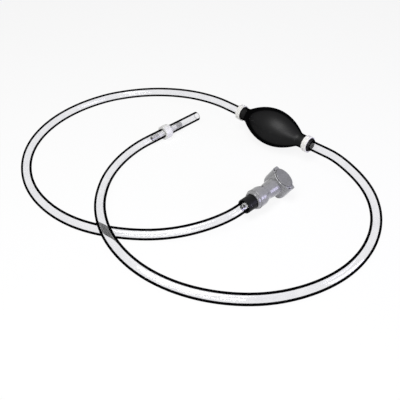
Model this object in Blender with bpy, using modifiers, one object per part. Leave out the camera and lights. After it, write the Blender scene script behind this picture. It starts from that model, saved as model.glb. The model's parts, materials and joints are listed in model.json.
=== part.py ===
# Siphon bulb pump: a rubber squeeze bulb with a ball check valve in each neck, a suction hose that ends in
# a barbed union and a short tail, and a delivery hose that ends in a thumb-latch coupling.
# Metres, +Z up. The bulb lies along X with its ends evenly about the origin, and everything rests on z = 0.
import math

import bmesh
import bpy
import numpy as np
from mathutils import Matrix, Vector

# Hose, cut from one size of clear tube
HOSE_OD = 0.0127
HOSE_ID = 0.0095
HOSE_STEP = 0.028
HOSE_BEVEL = 4
TAIL_L = 0.0510

# Clearances
SEAT_GAP = 0.0003
BARB_GAP = 0.0005
SLEEVE_GAP = 0.0004
BALL_GAP = 0.0002
SLIDE_GAP = 0.00035

# Squeeze bulb, whose hoses are pushed into its necks
BULB_D = 0.0480
BULB_BODY_L = 0.0840
BULB_WALL = 0.0032
NECK_OD = 0.0174
INLET_NECK_L = 0.0205
OUTLET_NECK_L = 0.0155
INLET_NOSE_D = 0.0148
INLET_NOSE_L = 0.0022
OUTLET_EDGE = 0.0006
BULB_RINGS = 14

# Neck clamps
CLAMP_W = 0.0070
CLAMP_BAND = 0.0012
CLAMP_TONGUE = 0.0007
CLAMP_HOOK = 0.0009
CLAMP_SPLIT = 0.00035
CLAMP_TOOTH = 0.0003
CLAMP_TEETH = 5
CLAMP_JAW_DEG = 36.0
CLAMP_TURN_DEG = 92.0
INLET_CLAMP_INSET = 0.0029
OUTLET_CLAMP_INSET = 0.0002

# Check valves, each a plug in its neck with the hose's end against it
VALVE_SETBACK = 0.0025
VALVE_FLANGE_L = 0.0015
PLUG_D = 0.0114
PLUG_L = 0.0200
CHAMBER_D = 0.0094
POCKET_D = 0.0100
POCKET_L = 0.0022
VALVE_BORE_D = 0.0050
SEAT_INSET = 0.0050
SHOULDER_INSET = 0.0030
SEAT_NOSE_L = 0.0040
SEAT_MOUTH_D = 0.0080
BALL_D = 0.0075
VALVE_SPRING_D = 0.0050
VALVE_WIRE = 0.0006
VALVE_TURNS = 4
RETAINER_BOSS_L = 0.0026
RETAINER_PORT_D = 0.0022
RETAINER_PORTS = 4

# Hose barbs
BARB_ROOT_D = 0.0070
BARB_BORE_D = 0.0050
BARB_PITCH = 0.0050
UNION_RIDGES = 2
STEM_RIDGES = 3

# Barbed union
UNION_BARB_L = 0.0200
FLANGE_D = 0.0188
FLANGE_L = 0.0125
FLANGE_NOSE_D = 0.0140
FLANGE_TAPER_L = 0.0030
FLANGE_EDGE = 0.0006
UNION_X = -0.1110
UNION_Y = -0.0967

# Thumb-latch coupling, measured from the sleeve's open end
COUPLING_X = 0.0735
COUPLING_Y = -0.1429
COUPLING_L = 0.0710
SLEEVE_OD = 0.0170
SLEEVE_SHOW = 0.0140
SLEEVE_EDGE = 0.0008
STEM_TIP = 0.0006
STEM_FLANGE_AT = 0.0216
STEM_FLANGE_L = 0.0024
STEM_NOSE_L = 0.0030
SKIRT_D = 0.0230
SKIRT_EDGE_D = 0.0206
SKIRT_L = 0.0125
SKIRT_TAPER_L = 0.0060
WAIST_D = 0.0186
WAIST_AT = 0.0360
COLLAR_D = 0.0206
COLLAR_AT = 0.0475
MOUTH_D = 0.0184
MOUTH_EDGE = 0.0005
SHAPE_STEPS = 5
SHUTOFF_D = 0.0124
THROAT_D = 0.0088
THROAT_L = 0.0017
SOCKET_D = 0.0130
SOCKET_L = 0.0180
SOCKET_LEAD = 0.0008
SOCKET_SEAL_AT = 0.0047
SOCKET_SEAL_WIRE = 0.0016
SOCKET_SEAL_PROUD = 0.0003

# Head of the coupling: a block across it with an oval well for the thumb pad, from the coupling's axis
HEAD_AT = 0.0609
HEAD_BACK = 0.0086
HEAD_AHEAD = 0.0028
HEAD_W = 0.0304
HEAD_TOP = 0.0122
HEAD_LOW = 0.0126
HEAD_CORNER = 0.0055
HEAD_FRONT_CORNER = 0.0015
HEAD_FOOT = 0.0050
HEAD_EDGE = 0.0006
CORNER_STEPS = 4
WELL_WALL = 0.00085
WELL_TOP = 0.0130
WELL_EDGE = 0.0004
EAR_SLIT_L = 0.0034
EAR_SLIT_W = 0.0010
EAR_SLIT_DEEP = 0.0030
EAR_SLIT_BACK = 0.0039
EAR_SLIT_SIDE = 0.0134

# Thumb latch
LATCH_ROLL_DEG = 30.5
PAD_L = 0.0166
PAD_W = 0.0240
PAD_T = 0.0024
PAD_TOP = 0.0139
PAD_RIM = 0.0007
PAD_BACK = 0.0005
LATCH_TRAVEL = 0.0020
LATCH_PLATE_T = 0.0021
LATCH_PLATE_W = 0.0206
LATCH_PLATE_LOW = 0.0084
LATCH_PLATE_AHEAD = 0.0006
LATCH_HOLE_D = 0.0138
LATCH_HOLE_UP = 0.0016
LATCH_SPRING_D = 0.0036
LATCH_WIRE = 0.0006
LATCH_TURNS = 3
LATCH_SPRING_BACK = 0.0034
LATCH_SPRING_SIDE = 0.0088
LATCH_SPRING_LOW = 0.0056

# Shut-off poppet
POPPET_NOSE_D = 0.0080
POPPET_PROUD = 0.0025
POPPET_NOSE_EDGE = 0.0006
POPPET_SEAL_WIRE = 0.0016
POPPET_FLANGE_D = 0.0110
POPPET_FLANGE_L = 0.0019
POPPET_FIN_L = 0.0050
POPPET_FIN_T = 0.0014
POPPET_CORE_D = 0.0058
POPPET_CORE_L = 0.0060
POPPET_SPRING_D = 0.0092
POPPET_WIRE = 0.0008
POPPET_TURNS = 6

# Facets
ROUND_STEPS = 32
SMALL_STEPS = 20
SEAL_STEPS = 24
SEAL_SIDES = 8
CURL_POINTS = 8

# Straight lengths of hose beyond each fitting
BULB_LEAD = 0.0240
UNION_LEAD = 0.0260
COUPLING_LEAD = 0.0290

# Hose routes: plan position, and height of the hose's underside
DELIVERY_ROUTE = [
    (-0.1240, -0.0025, 0.0155), (-0.1695, -0.0110, 0.0090), (-0.2105, -0.0320, 0.0030), (-0.2390, -0.0665, 0.0),
    (-0.2510, -0.1100, 0.0), (-0.2500, -0.1560, 0.0), (-0.2365, -0.1985, 0.0), (-0.2115, -0.2360, 0.0),
    (-0.1765, -0.2650, 0.0), (-0.1345, -0.2835, 0.0), (-0.0880, -0.2895, 0.0), (-0.0425, -0.2820, 0.0),
    (-0.0015, -0.2610, 0.0), (0.0345, -0.2305, 0.0015), (0.0610, -0.1945, 0.0065),
]
SUCTION_ROUTE = [
    (0.1145, -0.0045, 0.0155), (0.1545, -0.0210, 0.0100), (0.1850, -0.0525, 0.0040), (0.2005, -0.0940, 0.0),
    (0.2025, -0.1385, 0.0), (0.1915, -0.1810, 0.0), (0.1690, -0.2195, 0.0), (0.1360, -0.2500, 0.0),
    (0.0975, -0.2710, 0.0015), (0.0545, -0.2825, 0.0070), (0.0105, -0.2790, 0.0132), (-0.0290, -0.2605, 0.0140),
    (-0.0625, -0.2330, 0.0085), (-0.0895, -0.2010, 0.0030), (-0.1070, -0.1610, 0.0018),
]


def clear_scene():
    for old in list(bpy.data.objects):
        bpy.data.objects.remove(old, do_unlink=True)


def add_collection(name):
    collection = bpy.data.collections.new(name)
    bpy.context.scene.collection.children.link(collection)
    return collection


def plastic(name, colour, roughness, alpha=1.0, metallic=0.0):
    material = bpy.data.materials.new(name)
    material.use_nodes = True
    shader = material.node_tree.nodes["Principled BSDF"]
    shader.inputs["Base Color"].default_value = (*colour, 1.0)
    shader.inputs["Roughness"].default_value = roughness
    shader.inputs["Metallic"].default_value = metallic
    shader.inputs["Alpha"].default_value = alpha
    return material


def add_frame(name, location, rotation):
    frame = bpy.data.objects.new(name, None)
    frame.matrix_world = Matrix.Translation(location) @ rotation.to_4x4()
    parts.objects.link(frame)
    return frame


def add_part(name, data, material, frame=None):
    part = bpy.data.objects.new(name, data)
    data.materials.append(material)
    part.parent = frame
    parts.objects.link(part)
    return part


def add_cutter(name, mesh, frame):
    cutter = bpy.data.objects.new(name, mesh)
    cutter.parent = frame
    cutter.hide_render = True
    cutter.display_type = "WIRE"
    cutters.objects.link(cutter)
    return cutter


def combine(part, tool, operation):
    boolean = part.modifiers.new(tool.name, "BOOLEAN")
    boolean.operation = operation
    boolean.object = tool


# A turned piece: the profile runs down the outer side, and back up the bore where there is one
def turn_mesh(part, steps):
    screw = part.modifiers.new("turn", "SCREW")
    screw.axis = "Z"
    screw.angle = math.tau
    screw.steps = steps
    screw.render_steps = steps
    screw.use_merge_vertices = True
    screw.merge_threshold = 0.00001
    screw.use_smooth_shade = True


def profile_mesh(name, profile, has_bore):
    mesh = bpy.data.meshes.new(name)
    edges = [(i, i + 1) for i in range(len(profile) - 1)]
    if has_bore:
        edges.append((len(profile) - 1, 0))
    mesh.from_pydata([(r, 0.0, h) for r, h in profile], edges, [])
    return mesh


def turned(name, profile, material, frame, steps=SMALL_STEPS, has_bore=True):
    part = add_part(name, profile_mesh(name, profile, has_bore), material, frame)
    turn_mesh(part, steps)
    return part


def cylinder_mesh(name, radius, low, high, spots=((0.0, 0.0),), steps=SMALL_STEPS):
    shape = bmesh.new()
    for x, y in spots:
        place = Matrix.Translation((x, y, (low + high) / 2))
        bmesh.ops.create_cone(shape, cap_ends=True, segments=steps, radius1=radius, radius2=radius,
                              depth=high - low, matrix=place)
    mesh = bpy.data.meshes.new(name)
    shape.to_mesh(mesh)
    shape.free()
    return mesh


def box_mesh(name, size, centre):
    shape = bmesh.new()
    bmesh.ops.create_cube(shape, size=1.0, matrix=Matrix.Translation(centre) @ Matrix.Diagonal((*size, 1.0)))
    mesh = bpy.data.meshes.new(name)
    shape.to_mesh(mesh)
    shape.free()
    return mesh


def mesh_of_curve(name, curve):
    holder = bpy.data.objects.new(name, curve)
    bpy.context.scene.collection.objects.link(holder)
    bpy.context.view_layer.update()
    mesh = bpy.data.meshes.new_from_object(holder.evaluated_get(bpy.context.evaluated_depsgraph_get()))
    bpy.data.objects.remove(holder, do_unlink=True)
    shape = bmesh.new()
    shape.from_mesh(mesh)
    bmesh.ops.remove_doubles(shape, verts=shape.verts, dist=0.000001)
    shape.to_mesh(mesh)
    shape.free()
    return mesh


def add_spline(curve, points, closed):
    spline = curve.splines.new("POLY")
    spline.points.add(len(points) - 1)
    for spot, point in zip(spline.points, points):
        spot.co = (*point, 1.0)
    spline.use_cyclic_u = closed


# A flat outline with any holes in it, as a plate of the given thickness about z = 0
def plate_curve(name, outlines, thickness):
    curve = bpy.data.curves.new(name, "CURVE")
    curve.dimensions = "2D"
    curve.fill_mode = "BOTH"
    curve.extrude = thickness / 2
    for outline in outlines:
        add_spline(curve, [(x, y, 0.0) for x, y in outline], True)
    return curve


def arc(radius, start_deg, end_deg, count, centre=(0.0, 0.0)):
    angles = [math.radians(start_deg + (end_deg - start_deg) * i / count) for i in range(count + 1)]
    return [(centre[0] + radius * math.cos(a), centre[1] + radius * math.sin(a)) for a in angles]


# A compression spring along z, between the centres of its first and last turn of wire
def coil_spring(name, mean_d, wire, low, high, turns, material, frame):
    count = turns * CURL_POINTS
    curve = bpy.data.curves.new(name, "CURVE")
    curve.dimensions = "3D"
    curve.bevel_depth = wire / 2
    curve.bevel_resolution = 1
    curve.use_fill_caps = True
    angles = [math.tau * turns * i / count for i in range(count + 1)]
    points = [(mean_d / 2 * math.cos(a), mean_d / 2 * math.sin(a), low + (high - low) * i / count)
              for i, a in enumerate(angles)]
    add_spline(curve, points, False)
    print(name, "gap between turns, mm:", round(((high - low) / turns - wire) * 1000, 2))
    return add_part(name, curve, material, frame)


def seal_ring(name, mean_d, wire, height, material, frame):
    circle = arc(wire / 2, 90.0, 90.0 - 360.0 * (SEAL_SIDES - 1) / SEAL_SIDES, SEAL_SIDES - 1,
                 (mean_d / 2, height))
    return turned(name, circle, material, frame, SEAL_STEPS)


# Outer side of a hose barb, from its tip to its base: each ridge rises away from the tip, then drops
def barb_outline(tip, base, ridges):
    way = 1.0 if base > tip else -1.0
    crest = HOSE_ID / 2 - BARB_GAP
    outline = []
    for ridge in range(int(ridges)):
        start = tip + way * ridge * BARB_PITCH
        outline.append((BARB_ROOT_D / 2, start))
        outline.append((crest, start + way * BARB_PITCH))
    outline.append((BARB_ROOT_D / 2, tip + way * ridges * BARB_PITCH))
    outline.append((BARB_ROOT_D / 2, base))
    return outline


# A smooth blend between two radii, without its first point
def blend(r_from, h_from, r_to, h_to):
    share = [(1.0 - math.cos(math.pi * i / SHAPE_STEPS)) / 2 for i in range(1, SHAPE_STEPS + 1)]
    return [(r_from + (r_to - r_from) * s, h_from + (h_to - h_from) * i / SHAPE_STEPS)
            for i, s in enumerate(share, 1)]


def bulb_radius(h):
    return NECK_OD / 2 + (BULB_D - NECK_OD) / 2 * (1.0 - (2.0 * h / BULB_BODY_L) ** 2)


def bulb_bore(h):
    slope = (BULB_D - NECK_OD) * 4.0 * h / BULB_BODY_L ** 2
    return max(PLUG_D / 2 + SEAT_GAP, bulb_radius(h) - BULB_WALL * math.hypot(1.0, slope))


# The bulb's wall is turned in one piece with its necks: each bore is stepped for a valve and a hose
def make_bulb():
    heights = [BULB_BODY_L * (0.5 - i / BULB_RINGS) for i in range(BULB_RINGS + 1)]
    neck = NECK_OD / 2
    hose = HOSE_OD / 2 + SEAT_GAP
    plug = PLUG_D / 2 + SEAT_GAP
    step = valve_at - VALVE_FLANGE_L - 2 * SEAT_GAP
    outer = [(INLET_NOSE_D / 2, inlet_end), (neck, inlet_end - INLET_NOSE_L)]
    outer += [(bulb_radius(h), h) for h in heights]
    outer += [(neck, OUTLET_EDGE - outlet_end), (neck - OUTLET_EDGE, -outlet_end)]
    inner = [(hose, -outlet_end), (hose, -step), (plug, -step)]
    inner += [(bulb_bore(h), h) for h in reversed(heights)]
    inner += [(plug, step), (hose, step), (hose, inlet_end)]
    turned("bulb", outer + inner, black_rubber, bulb_frame, ROUND_STEPS)


# A snap-grip clamp: one band whose toothed ends hook over each other
def clamp_outline():
    inner = NECK_OD / 2 + SEAT_GAP
    band = inner + CLAMP_BAND
    tongue = inner + CLAMP_TONGUE
    hook = tongue + CLAMP_SPLIT
    top = hook + CLAMP_TOOTH + CLAMP_HOOK
    half = CLAMP_JAW_DEG / 2
    gap = math.degrees(CLAMP_SPLIT / inner)
    steps = 2 * CLAMP_TEETH

    def toothed(radius, start, end):
        reach = [radius + (CLAMP_TOOTH if i % 2 else 0.0) for i in range(steps + 1)]
        angles = [math.radians(start + (end - start) * i / steps) for i in range(steps + 1)]
        return [(r * math.cos(a), r * math.sin(a)) for r, a in zip(reach, angles)]

    bore = arc(inner, -half, 360.0 - half - gap, 36)
    under_hook = toothed(hook, -half - gap, half)
    over_hook = arc(top, half, -half - gap, 4)
    back = arc(band, 360.0 - half - 3.0 * gap, half + 3.0 * gap, 34)
    return bore + under_hook + over_hook + back + toothed(tongue, half, -half)


def make_clamp(name, frame, neck_l, inset):
    clamp = add_part(name, plate_curve(name, [clamp_outline()], CLAMP_W), white_nylon, frame)
    clamp.location.z = BULB_BODY_L / 2 + neck_l - valve_at - inset - CLAMP_W / 2
    # The jaws face forward and a little down
    facing = -CLAMP_TURN_DEG if frame is outlet_frame else CLAMP_TURN_DEG
    clamp.rotation_euler.z = math.radians(facing - 90.0)


# Each valve is measured from the end of its hose, with z outwards along its neck
def valve_outline():
    flange = HOSE_OD / 2
    low = -SEAT_GAP - VALVE_FLANGE_L
    outline = [(flange, -SEAT_GAP), (flange, low), (PLUG_D / 2, low), (PLUG_D / 2, -PLUG_L)]
    outline += [(POCKET_D / 2, -PLUG_L), (POCKET_D / 2, POCKET_L - PLUG_L)]
    return outline + [(CHAMBER_D / 2, POCKET_L - PLUG_L)]


def spring_on_ball():
    reach = BALL_D / 2 + SEAT_GAP + VALVE_WIRE / 2
    return math.sqrt(reach ** 2 - (VALVE_SPRING_D / 2) ** 2)


def make_ball(name, height, frame):
    shape = bmesh.new()
    bmesh.ops.create_uvsphere(shape, u_segments=16, v_segments=10, radius=BALL_D / 2)
    for face in shape.faces:
        face.smooth = True
    mesh = bpy.data.meshes.new(name)
    shape.to_mesh(mesh)
    shape.free()
    add_part(name, mesh, steel, frame).location.z = height


# Suction side: the seat is in the body, and the ball lifts into the bulb against a caged spring
def make_inlet_valve():
    bore = VALVE_BORE_D / 2
    seat = [(CHAMBER_D / 2, -SEAT_INSET), (bore, CHAMBER_D / 2 - bore - SEAT_INSET), (bore, -SEAT_GAP)]
    turned("inlet_valve_body", valve_outline() + seat, black_plastic, inlet_frame)
    ball = CHAMBER_D / 2 - SEAT_INSET - math.sqrt(2.0) * (BALL_D / 2 + BALL_GAP)
    make_ball("inlet_valve_ball", ball, inlet_frame)
    rim = POCKET_L - PLUG_L - SEAT_GAP
    boss = (VALVE_SPRING_D - VALVE_WIRE) / 2 - SEAT_GAP
    flange = POCKET_D / 2 - SEAT_GAP
    cage = [(0.0, rim + RETAINER_BOSS_L), (boss, rim + RETAINER_BOSS_L), (boss, rim), (flange, rim)]
    cage += [(flange, -PLUG_L), (0.0, -PLUG_L)]
    retainer = turned("inlet_spring_retainer", cage, white_nylon, inlet_frame, has_bore=False)
    spots = arc((boss + flange) / 2, 0.0, 360.0 - 360.0 / RETAINER_PORTS, RETAINER_PORTS - 1)
    ports = cylinder_mesh("retainer_ports", RETAINER_PORT_D / 2, -PLUG_L - POCKET_L, rim + POCKET_L,
                          spots, 10)
    combine(retainer, add_cutter("retainer_ports", ports, inlet_frame), "DIFFERENCE")
    low = rim + SEAT_GAP + VALVE_WIRE / 2
    coil_spring("inlet_valve_spring", VALVE_SPRING_D, VALVE_WIRE, low, ball - spring_on_ball(), VALVE_TURNS,
                steel, inlet_frame)


# Delivery side: a seat ring closes the inner end, and the ball lifts towards the hose
def make_outlet_valve():
    bore = VALVE_BORE_D / 2
    inside = [(CHAMBER_D / 2, -SHOULDER_INSET), (bore, -SHOULDER_INSET), (bore, -SEAT_GAP)]
    turned("outlet_valve_body", valve_outline() + inside, black_plastic, outlet_frame)
    nose = SEAT_NOSE_L - PLUG_L
    mouth = SEAT_MOUTH_D / 2
    rim = POCKET_L - PLUG_L - SEAT_GAP
    ring = [(mouth, nose), (CHAMBER_D / 2 - SEAT_GAP, nose), (CHAMBER_D / 2 - SEAT_GAP, rim)]
    ring += [(POCKET_D / 2 - SEAT_GAP, rim), (POCKET_D / 2 - SEAT_GAP, -PLUG_L), (bore, -PLUG_L)]
    ring += [(bore, nose - mouth + bore)]
    turned("outlet_seat_ring", ring, white_nylon, outlet_frame)
    ball = nose - mouth + math.sqrt(2.0) * (BALL_D / 2 + BALL_GAP)
    make_ball("outlet_valve_ball", ball, outlet_frame)
    high = -SHOULDER_INSET - SEAT_GAP - VALVE_WIRE / 2
    coil_spring("outlet_valve_spring", VALVE_SPRING_D, VALVE_WIRE, ball + spring_on_ball(), high, VALVE_TURNS,
                steel, outlet_frame)


def make_union():
    profile = barb_outline(FLANGE_L + UNION_BARB_L, FLANGE_L, UNION_RIDGES)
    profile += [(FLANGE_NOSE_D / 2, FLANGE_L), (FLANGE_D / 2, FLANGE_L - FLANGE_TAPER_L)]
    profile += [(FLANGE_D / 2, FLANGE_EDGE), (FLANGE_D / 2 - FLANGE_EDGE, 0.0)]
    profile += list(reversed(barb_outline(-UNION_BARB_L, 0.0, UNION_RIDGES)))
    profile += [(BARB_BORE_D / 2, -UNION_BARB_L), (BARB_BORE_D / 2, FLANGE_L + UNION_BARB_L)]
    turned("barbed_union", profile, clear_nylon, union_frame)


def make_sleeve():
    bore = HOSE_OD / 2 + SLEEVE_GAP
    outer = SLEEVE_OD / 2
    top = STEM_FLANGE_AT - SEAT_GAP
    profile = [(outer, top), (outer, SLEEVE_EDGE), (outer - SLEEVE_EDGE, 0.0), (bore, 0.0), (bore, top)]
    turned("coupling_hose_sleeve", profile, black_plastic, coupling_frame, SEAL_STEPS)


def make_stem():
    flange_top = STEM_FLANGE_AT + STEM_FLANGE_L
    nose = SHUTOFF_D / 2 - SEAT_GAP
    bore = BARB_BORE_D / 2
    profile = [(nose, flange_top + STEM_NOSE_L), (nose, flange_top), (SLEEVE_OD / 2, flange_top)]
    profile += [(SLEEVE_OD / 2, STEM_FLANGE_AT)]
    profile += list(reversed(barb_outline(STEM_TIP, STEM_FLANGE_AT, STEM_RIDGES)))
    profile += [(bore, STEM_TIP), (bore, flange_top + STEM_NOSE_L)]
    turned("coupling_hose_barb", profile, clear_nylon, coupling_frame)


def housing_outline():
    skirt = SKIRT_D / 2
    collar = COLLAR_D / 2
    mouth = MOUTH_D / 2
    skirt_top = SLEEVE_SHOW + SKIRT_L
    outline = [(0.0, COUPLING_L), (mouth - MOUTH_EDGE, COUPLING_L), (mouth, COUPLING_L - MOUTH_EDGE)]
    outline += [(mouth, HEAD_AT), (collar, HEAD_AT - (collar - mouth)), (collar, COLLAR_AT)]
    outline += blend(collar, COLLAR_AT, WAIST_D / 2, WAIST_AT)
    outline += blend(WAIST_D / 2, WAIST_AT, skirt, skirt_top)
    outline += [(skirt, SLEEVE_SHOW + SKIRT_TAPER_L), (SKIRT_EDGE_D / 2, SLEEVE_SHOW), (0.0, SLEEVE_SHOW)]
    return outline


# The bore as a solid that runs past both ends, from the socket's mouth down to the sleeve's recess
def housing_bore():
    recess = SLEEVE_OD / 2 + SEAT_GAP
    shoulder = STEM_FLANGE_AT + STEM_FLANGE_L + SEAT_GAP
    socket = SOCKET_D / 2
    chamber = SHUTOFF_D / 2
    groove = socket - SOCKET_SEAL_PROUD + SOCKET_SEAL_WIRE + SEAT_GAP
    groove_half = SOCKET_SEAL_WIRE / 2 + SEAT_GAP
    seal_at = socket_floor + SOCKET_SEAL_AT
    past = SOCKET_LEAD
    bore = [(0.0, COUPLING_L + past), (socket + 2 * past, COUPLING_L + past), (socket, COUPLING_L - past)]
    bore += [(socket, seal_at + groove_half), (groove, seal_at + groove_half)]
    bore += [(groove, seal_at - groove_half), (socket, seal_at - groove_half), (socket, socket_floor)]
    bore += [(THROAT_D / 2, socket_floor), (THROAT_D / 2, socket_floor - THROAT_L), (chamber, seat_low)]
    bore += [(chamber, shoulder), (recess, shoulder), (recess, SLEEVE_SHOW - past), (0.0, SLEEVE_SHOW - past)]
    return bore


# The head seen along the coupling: bevelled shoulders and a rounded foot
def head_end():
    side = HEAD_W / 2
    foot = side - HEAD_FOOT
    outline = [(side, HEAD_TOP - HEAD_EDGE), (side - HEAD_EDGE, HEAD_TOP)]
    outline += [(HEAD_EDGE - side, HEAD_TOP), (-side, HEAD_TOP - HEAD_EDGE)]
    outline += arc(HEAD_FOOT, 180.0, 270.0, CORNER_STEPS, (-foot, HEAD_FOOT - HEAD_LOW))
    return outline + arc(HEAD_FOOT, 270.0, 360.0, CORNER_STEPS, (foot, HEAD_FOOT - HEAD_LOW))


# The head seen from above: wide round corners behind and tight ones in front
def head_plan():
    rear = (HEAD_CORNER - HEAD_BACK, HEAD_W / 2 - HEAD_CORNER)
    front = (HEAD_AHEAD - HEAD_FRONT_CORNER, HEAD_W / 2 - HEAD_FRONT_CORNER)
    outline = arc(HEAD_FRONT_CORNER, -90.0, 0.0, CORNER_STEPS, (front[0], -front[1]))
    outline += arc(HEAD_FRONT_CORNER, 0.0, 90.0, CORNER_STEPS, front)
    outline += arc(HEAD_CORNER, 90.0, 180.0, CORNER_STEPS, rear)
    return outline + arc(HEAD_CORNER, 180.0, 270.0, CORNER_STEPS, (rear[0], -rear[1]))


# The block that both views share
def head_block():
    past = 2 * (HEAD_BACK + HEAD_AHEAD)
    block = add_cutter("head_block", standing_plate("head_block", [head_end()], past, 0.0), latch_frame)
    tall = 2 * (HEAD_TOP + HEAD_LOW)
    plan = mesh_of_curve("head_plan", plate_curve("head_plan", [head_plan()], tall))
    combine(block, add_cutter("head_plan", plan, latch_frame), "INTERSECT")
    return block


# The plate's outline across the coupling: straight sides and a half-round foot
def plate_outline(width, foot, top):
    side = width / 2
    return [(side, top)] + list(reversed(arc(side, 180.0, 360.0, 12, (0.0, side - foot)))) + [(-side, top)]


# The plate's curve lies in its own XY plane, so it is stood up across the coupling's axis
def standing_plate(name, outlines, thickness, ahead):
    mesh = mesh_of_curve(name, plate_curve(name, outlines, thickness))
    across = Matrix(((0.0, 0.0, 1.0), (1.0, 0.0, 0.0), (0.0, 1.0, 0.0))).to_4x4()
    mesh.transform(Matrix.Translation((ahead, 0.0, 0.0)) @ across)
    return mesh


# The pad's oval, grown all round by a margin
def oval_mesh(name, margin, low, high, rim=0.0):
    shape = bmesh.new()
    size = Matrix.Diagonal((PAD_L + 2 * margin, PAD_W + 2 * margin, high - low, 1.0))
    place = Matrix.Translation((-PAD_BACK, 0.0, (low + high) / 2)) @ size
    bmesh.ops.create_cone(shape, cap_ends=True, segments=ROUND_STEPS, radius1=0.5, radius2=0.5, depth=1.0,
                          matrix=place)
    if rim > 0.0:
        middle = (low + high) / 2
        edges = [edge for edge in shape.edges if min(v.co.z for v in edge.verts) > middle]
        bmesh.ops.bevel(shape, geom=edges, offset=rim, offset_type="OFFSET", segments=2, profile=0.5,
                        affect="EDGES")
    mesh = bpy.data.meshes.new(name)
    shape.to_mesh(mesh)
    shape.free()
    return mesh


def make_housing():
    housing = turned("coupling_housing", housing_outline(), grey_plastic, coupling_frame, ROUND_STEPS, False)
    combine(housing, head_block(), "UNION")
    well = oval_mesh("pad_well", SLIDE_GAP + WELL_WALL, 0.0, WELL_TOP, WELL_EDGE)
    combine(housing, add_cutter("pad_well", well, latch_frame), "UNION")
    bore = add_cutter("housing_bore", profile_mesh("housing_bore", housing_bore(), False), coupling_frame)
    turn_mesh(bore, ROUND_STEPS)
    combine(housing, bore, "DIFFERENCE")
    above = HEAD_TOP + HEAD_LOW
    floor = PAD_TOP - PAD_T - LATCH_TRAVEL - SLIDE_GAP
    pocket = oval_mesh("pad_pocket", SLIDE_GAP, floor, above)
    combine(housing, add_cutter("pad_pocket", pocket, latch_frame), "DIFFERENCE")
    foot = LATCH_PLATE_LOW + LATCH_TRAVEL + SLIDE_GAP
    slot = standing_plate("latch_slot", [plate_outline(LATCH_PLATE_W + 2 * SLIDE_GAP, foot, above)],
                          LATCH_PLATE_T + 2 * SLIDE_GAP, LATCH_PLATE_AHEAD)
    combine(housing, add_cutter("latch_slot", slot, latch_frame), "DIFFERENCE")
    well_r = (LATCH_SPRING_D + LATCH_WIRE) / 2 + SEAT_GAP
    spots = [(-LATCH_SPRING_BACK, -LATCH_SPRING_SIDE), (-LATCH_SPRING_BACK, LATCH_SPRING_SIDE)]
    wells = cylinder_mesh("latch_spring_wells", well_r, LATCH_SPRING_LOW, above, spots)
    combine(housing, add_cutter("latch_spring_wells", wells, latch_frame), "DIFFERENCE")
    for side, name in ((-1.0, "ear_slit_near"), (1.0, "ear_slit_far")):
        centre = (-EAR_SLIT_BACK, side * EAR_SLIT_SIDE, HEAD_TOP)
        slit = box_mesh(name, (EAR_SLIT_L, EAR_SLIT_W, 2 * EAR_SLIT_DEEP), centre)
        combine(housing, add_cutter(name, slit, latch_frame), "DIFFERENCE")


# Pad and plate are one moulding: the plate's hole stands off the socket's axis until the pad is pressed
def make_latch():
    pad_low = PAD_TOP - PAD_T
    pad = oval_mesh("thumb_latch", 0.0, pad_low, PAD_TOP, PAD_RIM)
    latch = add_part("thumb_latch", pad, grey_plastic, latch_frame)
    outline = plate_outline(LATCH_PLATE_W, LATCH_PLATE_LOW, PAD_TOP - PAD_T / 2)
    hole = arc(LATCH_HOLE_D / 2, 0.0, 345.0, 23, (0.0, LATCH_HOLE_UP))
    plate = standing_plate("latch_plate", [outline, hole], LATCH_PLATE_T, LATCH_PLATE_AHEAD)
    combine(latch, add_cutter("latch_plate", plate, latch_frame), "UNION")
    low = LATCH_SPRING_LOW + SEAT_GAP + LATCH_WIRE / 2
    high = pad_low - SEAT_GAP - LATCH_WIRE / 2
    for side, name in ((-1.0, "latch_spring_near"), (1.0, "latch_spring_far")):
        spring = coil_spring(name, LATCH_SPRING_D, LATCH_WIRE, low, high, LATCH_TURNS, steel, latch_frame)
        spring.location = (-LATCH_SPRING_BACK, side * LATCH_SPRING_SIDE, 0.0)


def make_poppet():
    nose = POPPET_NOSE_D / 2
    ring_r = nose + SEAT_GAP / 2 + POPPET_SEAL_WIRE / 2
    # The seal stands just off the conical seat, whose wall leans at 45 degrees
    ring_h = SHUTOFF_D / 2 + seat_low - ring_r - math.sqrt(2.0) * (POPPET_SEAL_WIRE / 2 + BALL_GAP)
    flange_top = ring_h - POPPET_SEAL_WIRE / 2 - SEAT_GAP / 2
    flange_low = flange_top - POPPET_FLANGE_L
    fin_low = flange_low - POPPET_FIN_L
    tip = socket_floor + POPPET_PROUD
    profile = [(0.0, tip), (nose - POPPET_NOSE_EDGE, tip), (nose, tip - POPPET_NOSE_EDGE), (nose, flange_top)]
    profile += [(POPPET_FLANGE_D / 2, flange_top), (POPPET_FLANGE_D / 2, flange_low)]
    profile += [(POPPET_CORE_D / 2, flange_low), (POPPET_CORE_D / 2, fin_low - POPPET_CORE_L)]
    profile += [(0.0, fin_low - POPPET_CORE_L)]
    poppet = turned("shutoff_poppet", profile, white_nylon, coupling_frame, has_bore=False)
    span = SHUTOFF_D - 2 * SEAT_GAP
    fin_h = POPPET_FIN_L + POPPET_FLANGE_L / 2
    centre = (0.0, 0.0, fin_low + fin_h / 2)
    fins = (("fin_across", (span, POPPET_FIN_T, fin_h)), ("fin_upright", (POPPET_FIN_T, span, fin_h)))
    for name, size in fins:
        combine(poppet, add_cutter(name, box_mesh(name, size, centre), coupling_frame), "UNION")
    seal_ring("poppet_seal", 2 * ring_r, POPPET_SEAL_WIRE, ring_h, black_rubber, coupling_frame)
    low = STEM_FLANGE_AT + STEM_FLANGE_L + STEM_NOSE_L + SEAT_GAP + POPPET_WIRE / 2
    high = fin_low - SEAT_GAP - POPPET_WIRE / 2
    coil_spring("poppet_spring", POPPET_SPRING_D, POPPET_WIRE, low, high, POPPET_TURNS, steel, coupling_frame)


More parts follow.
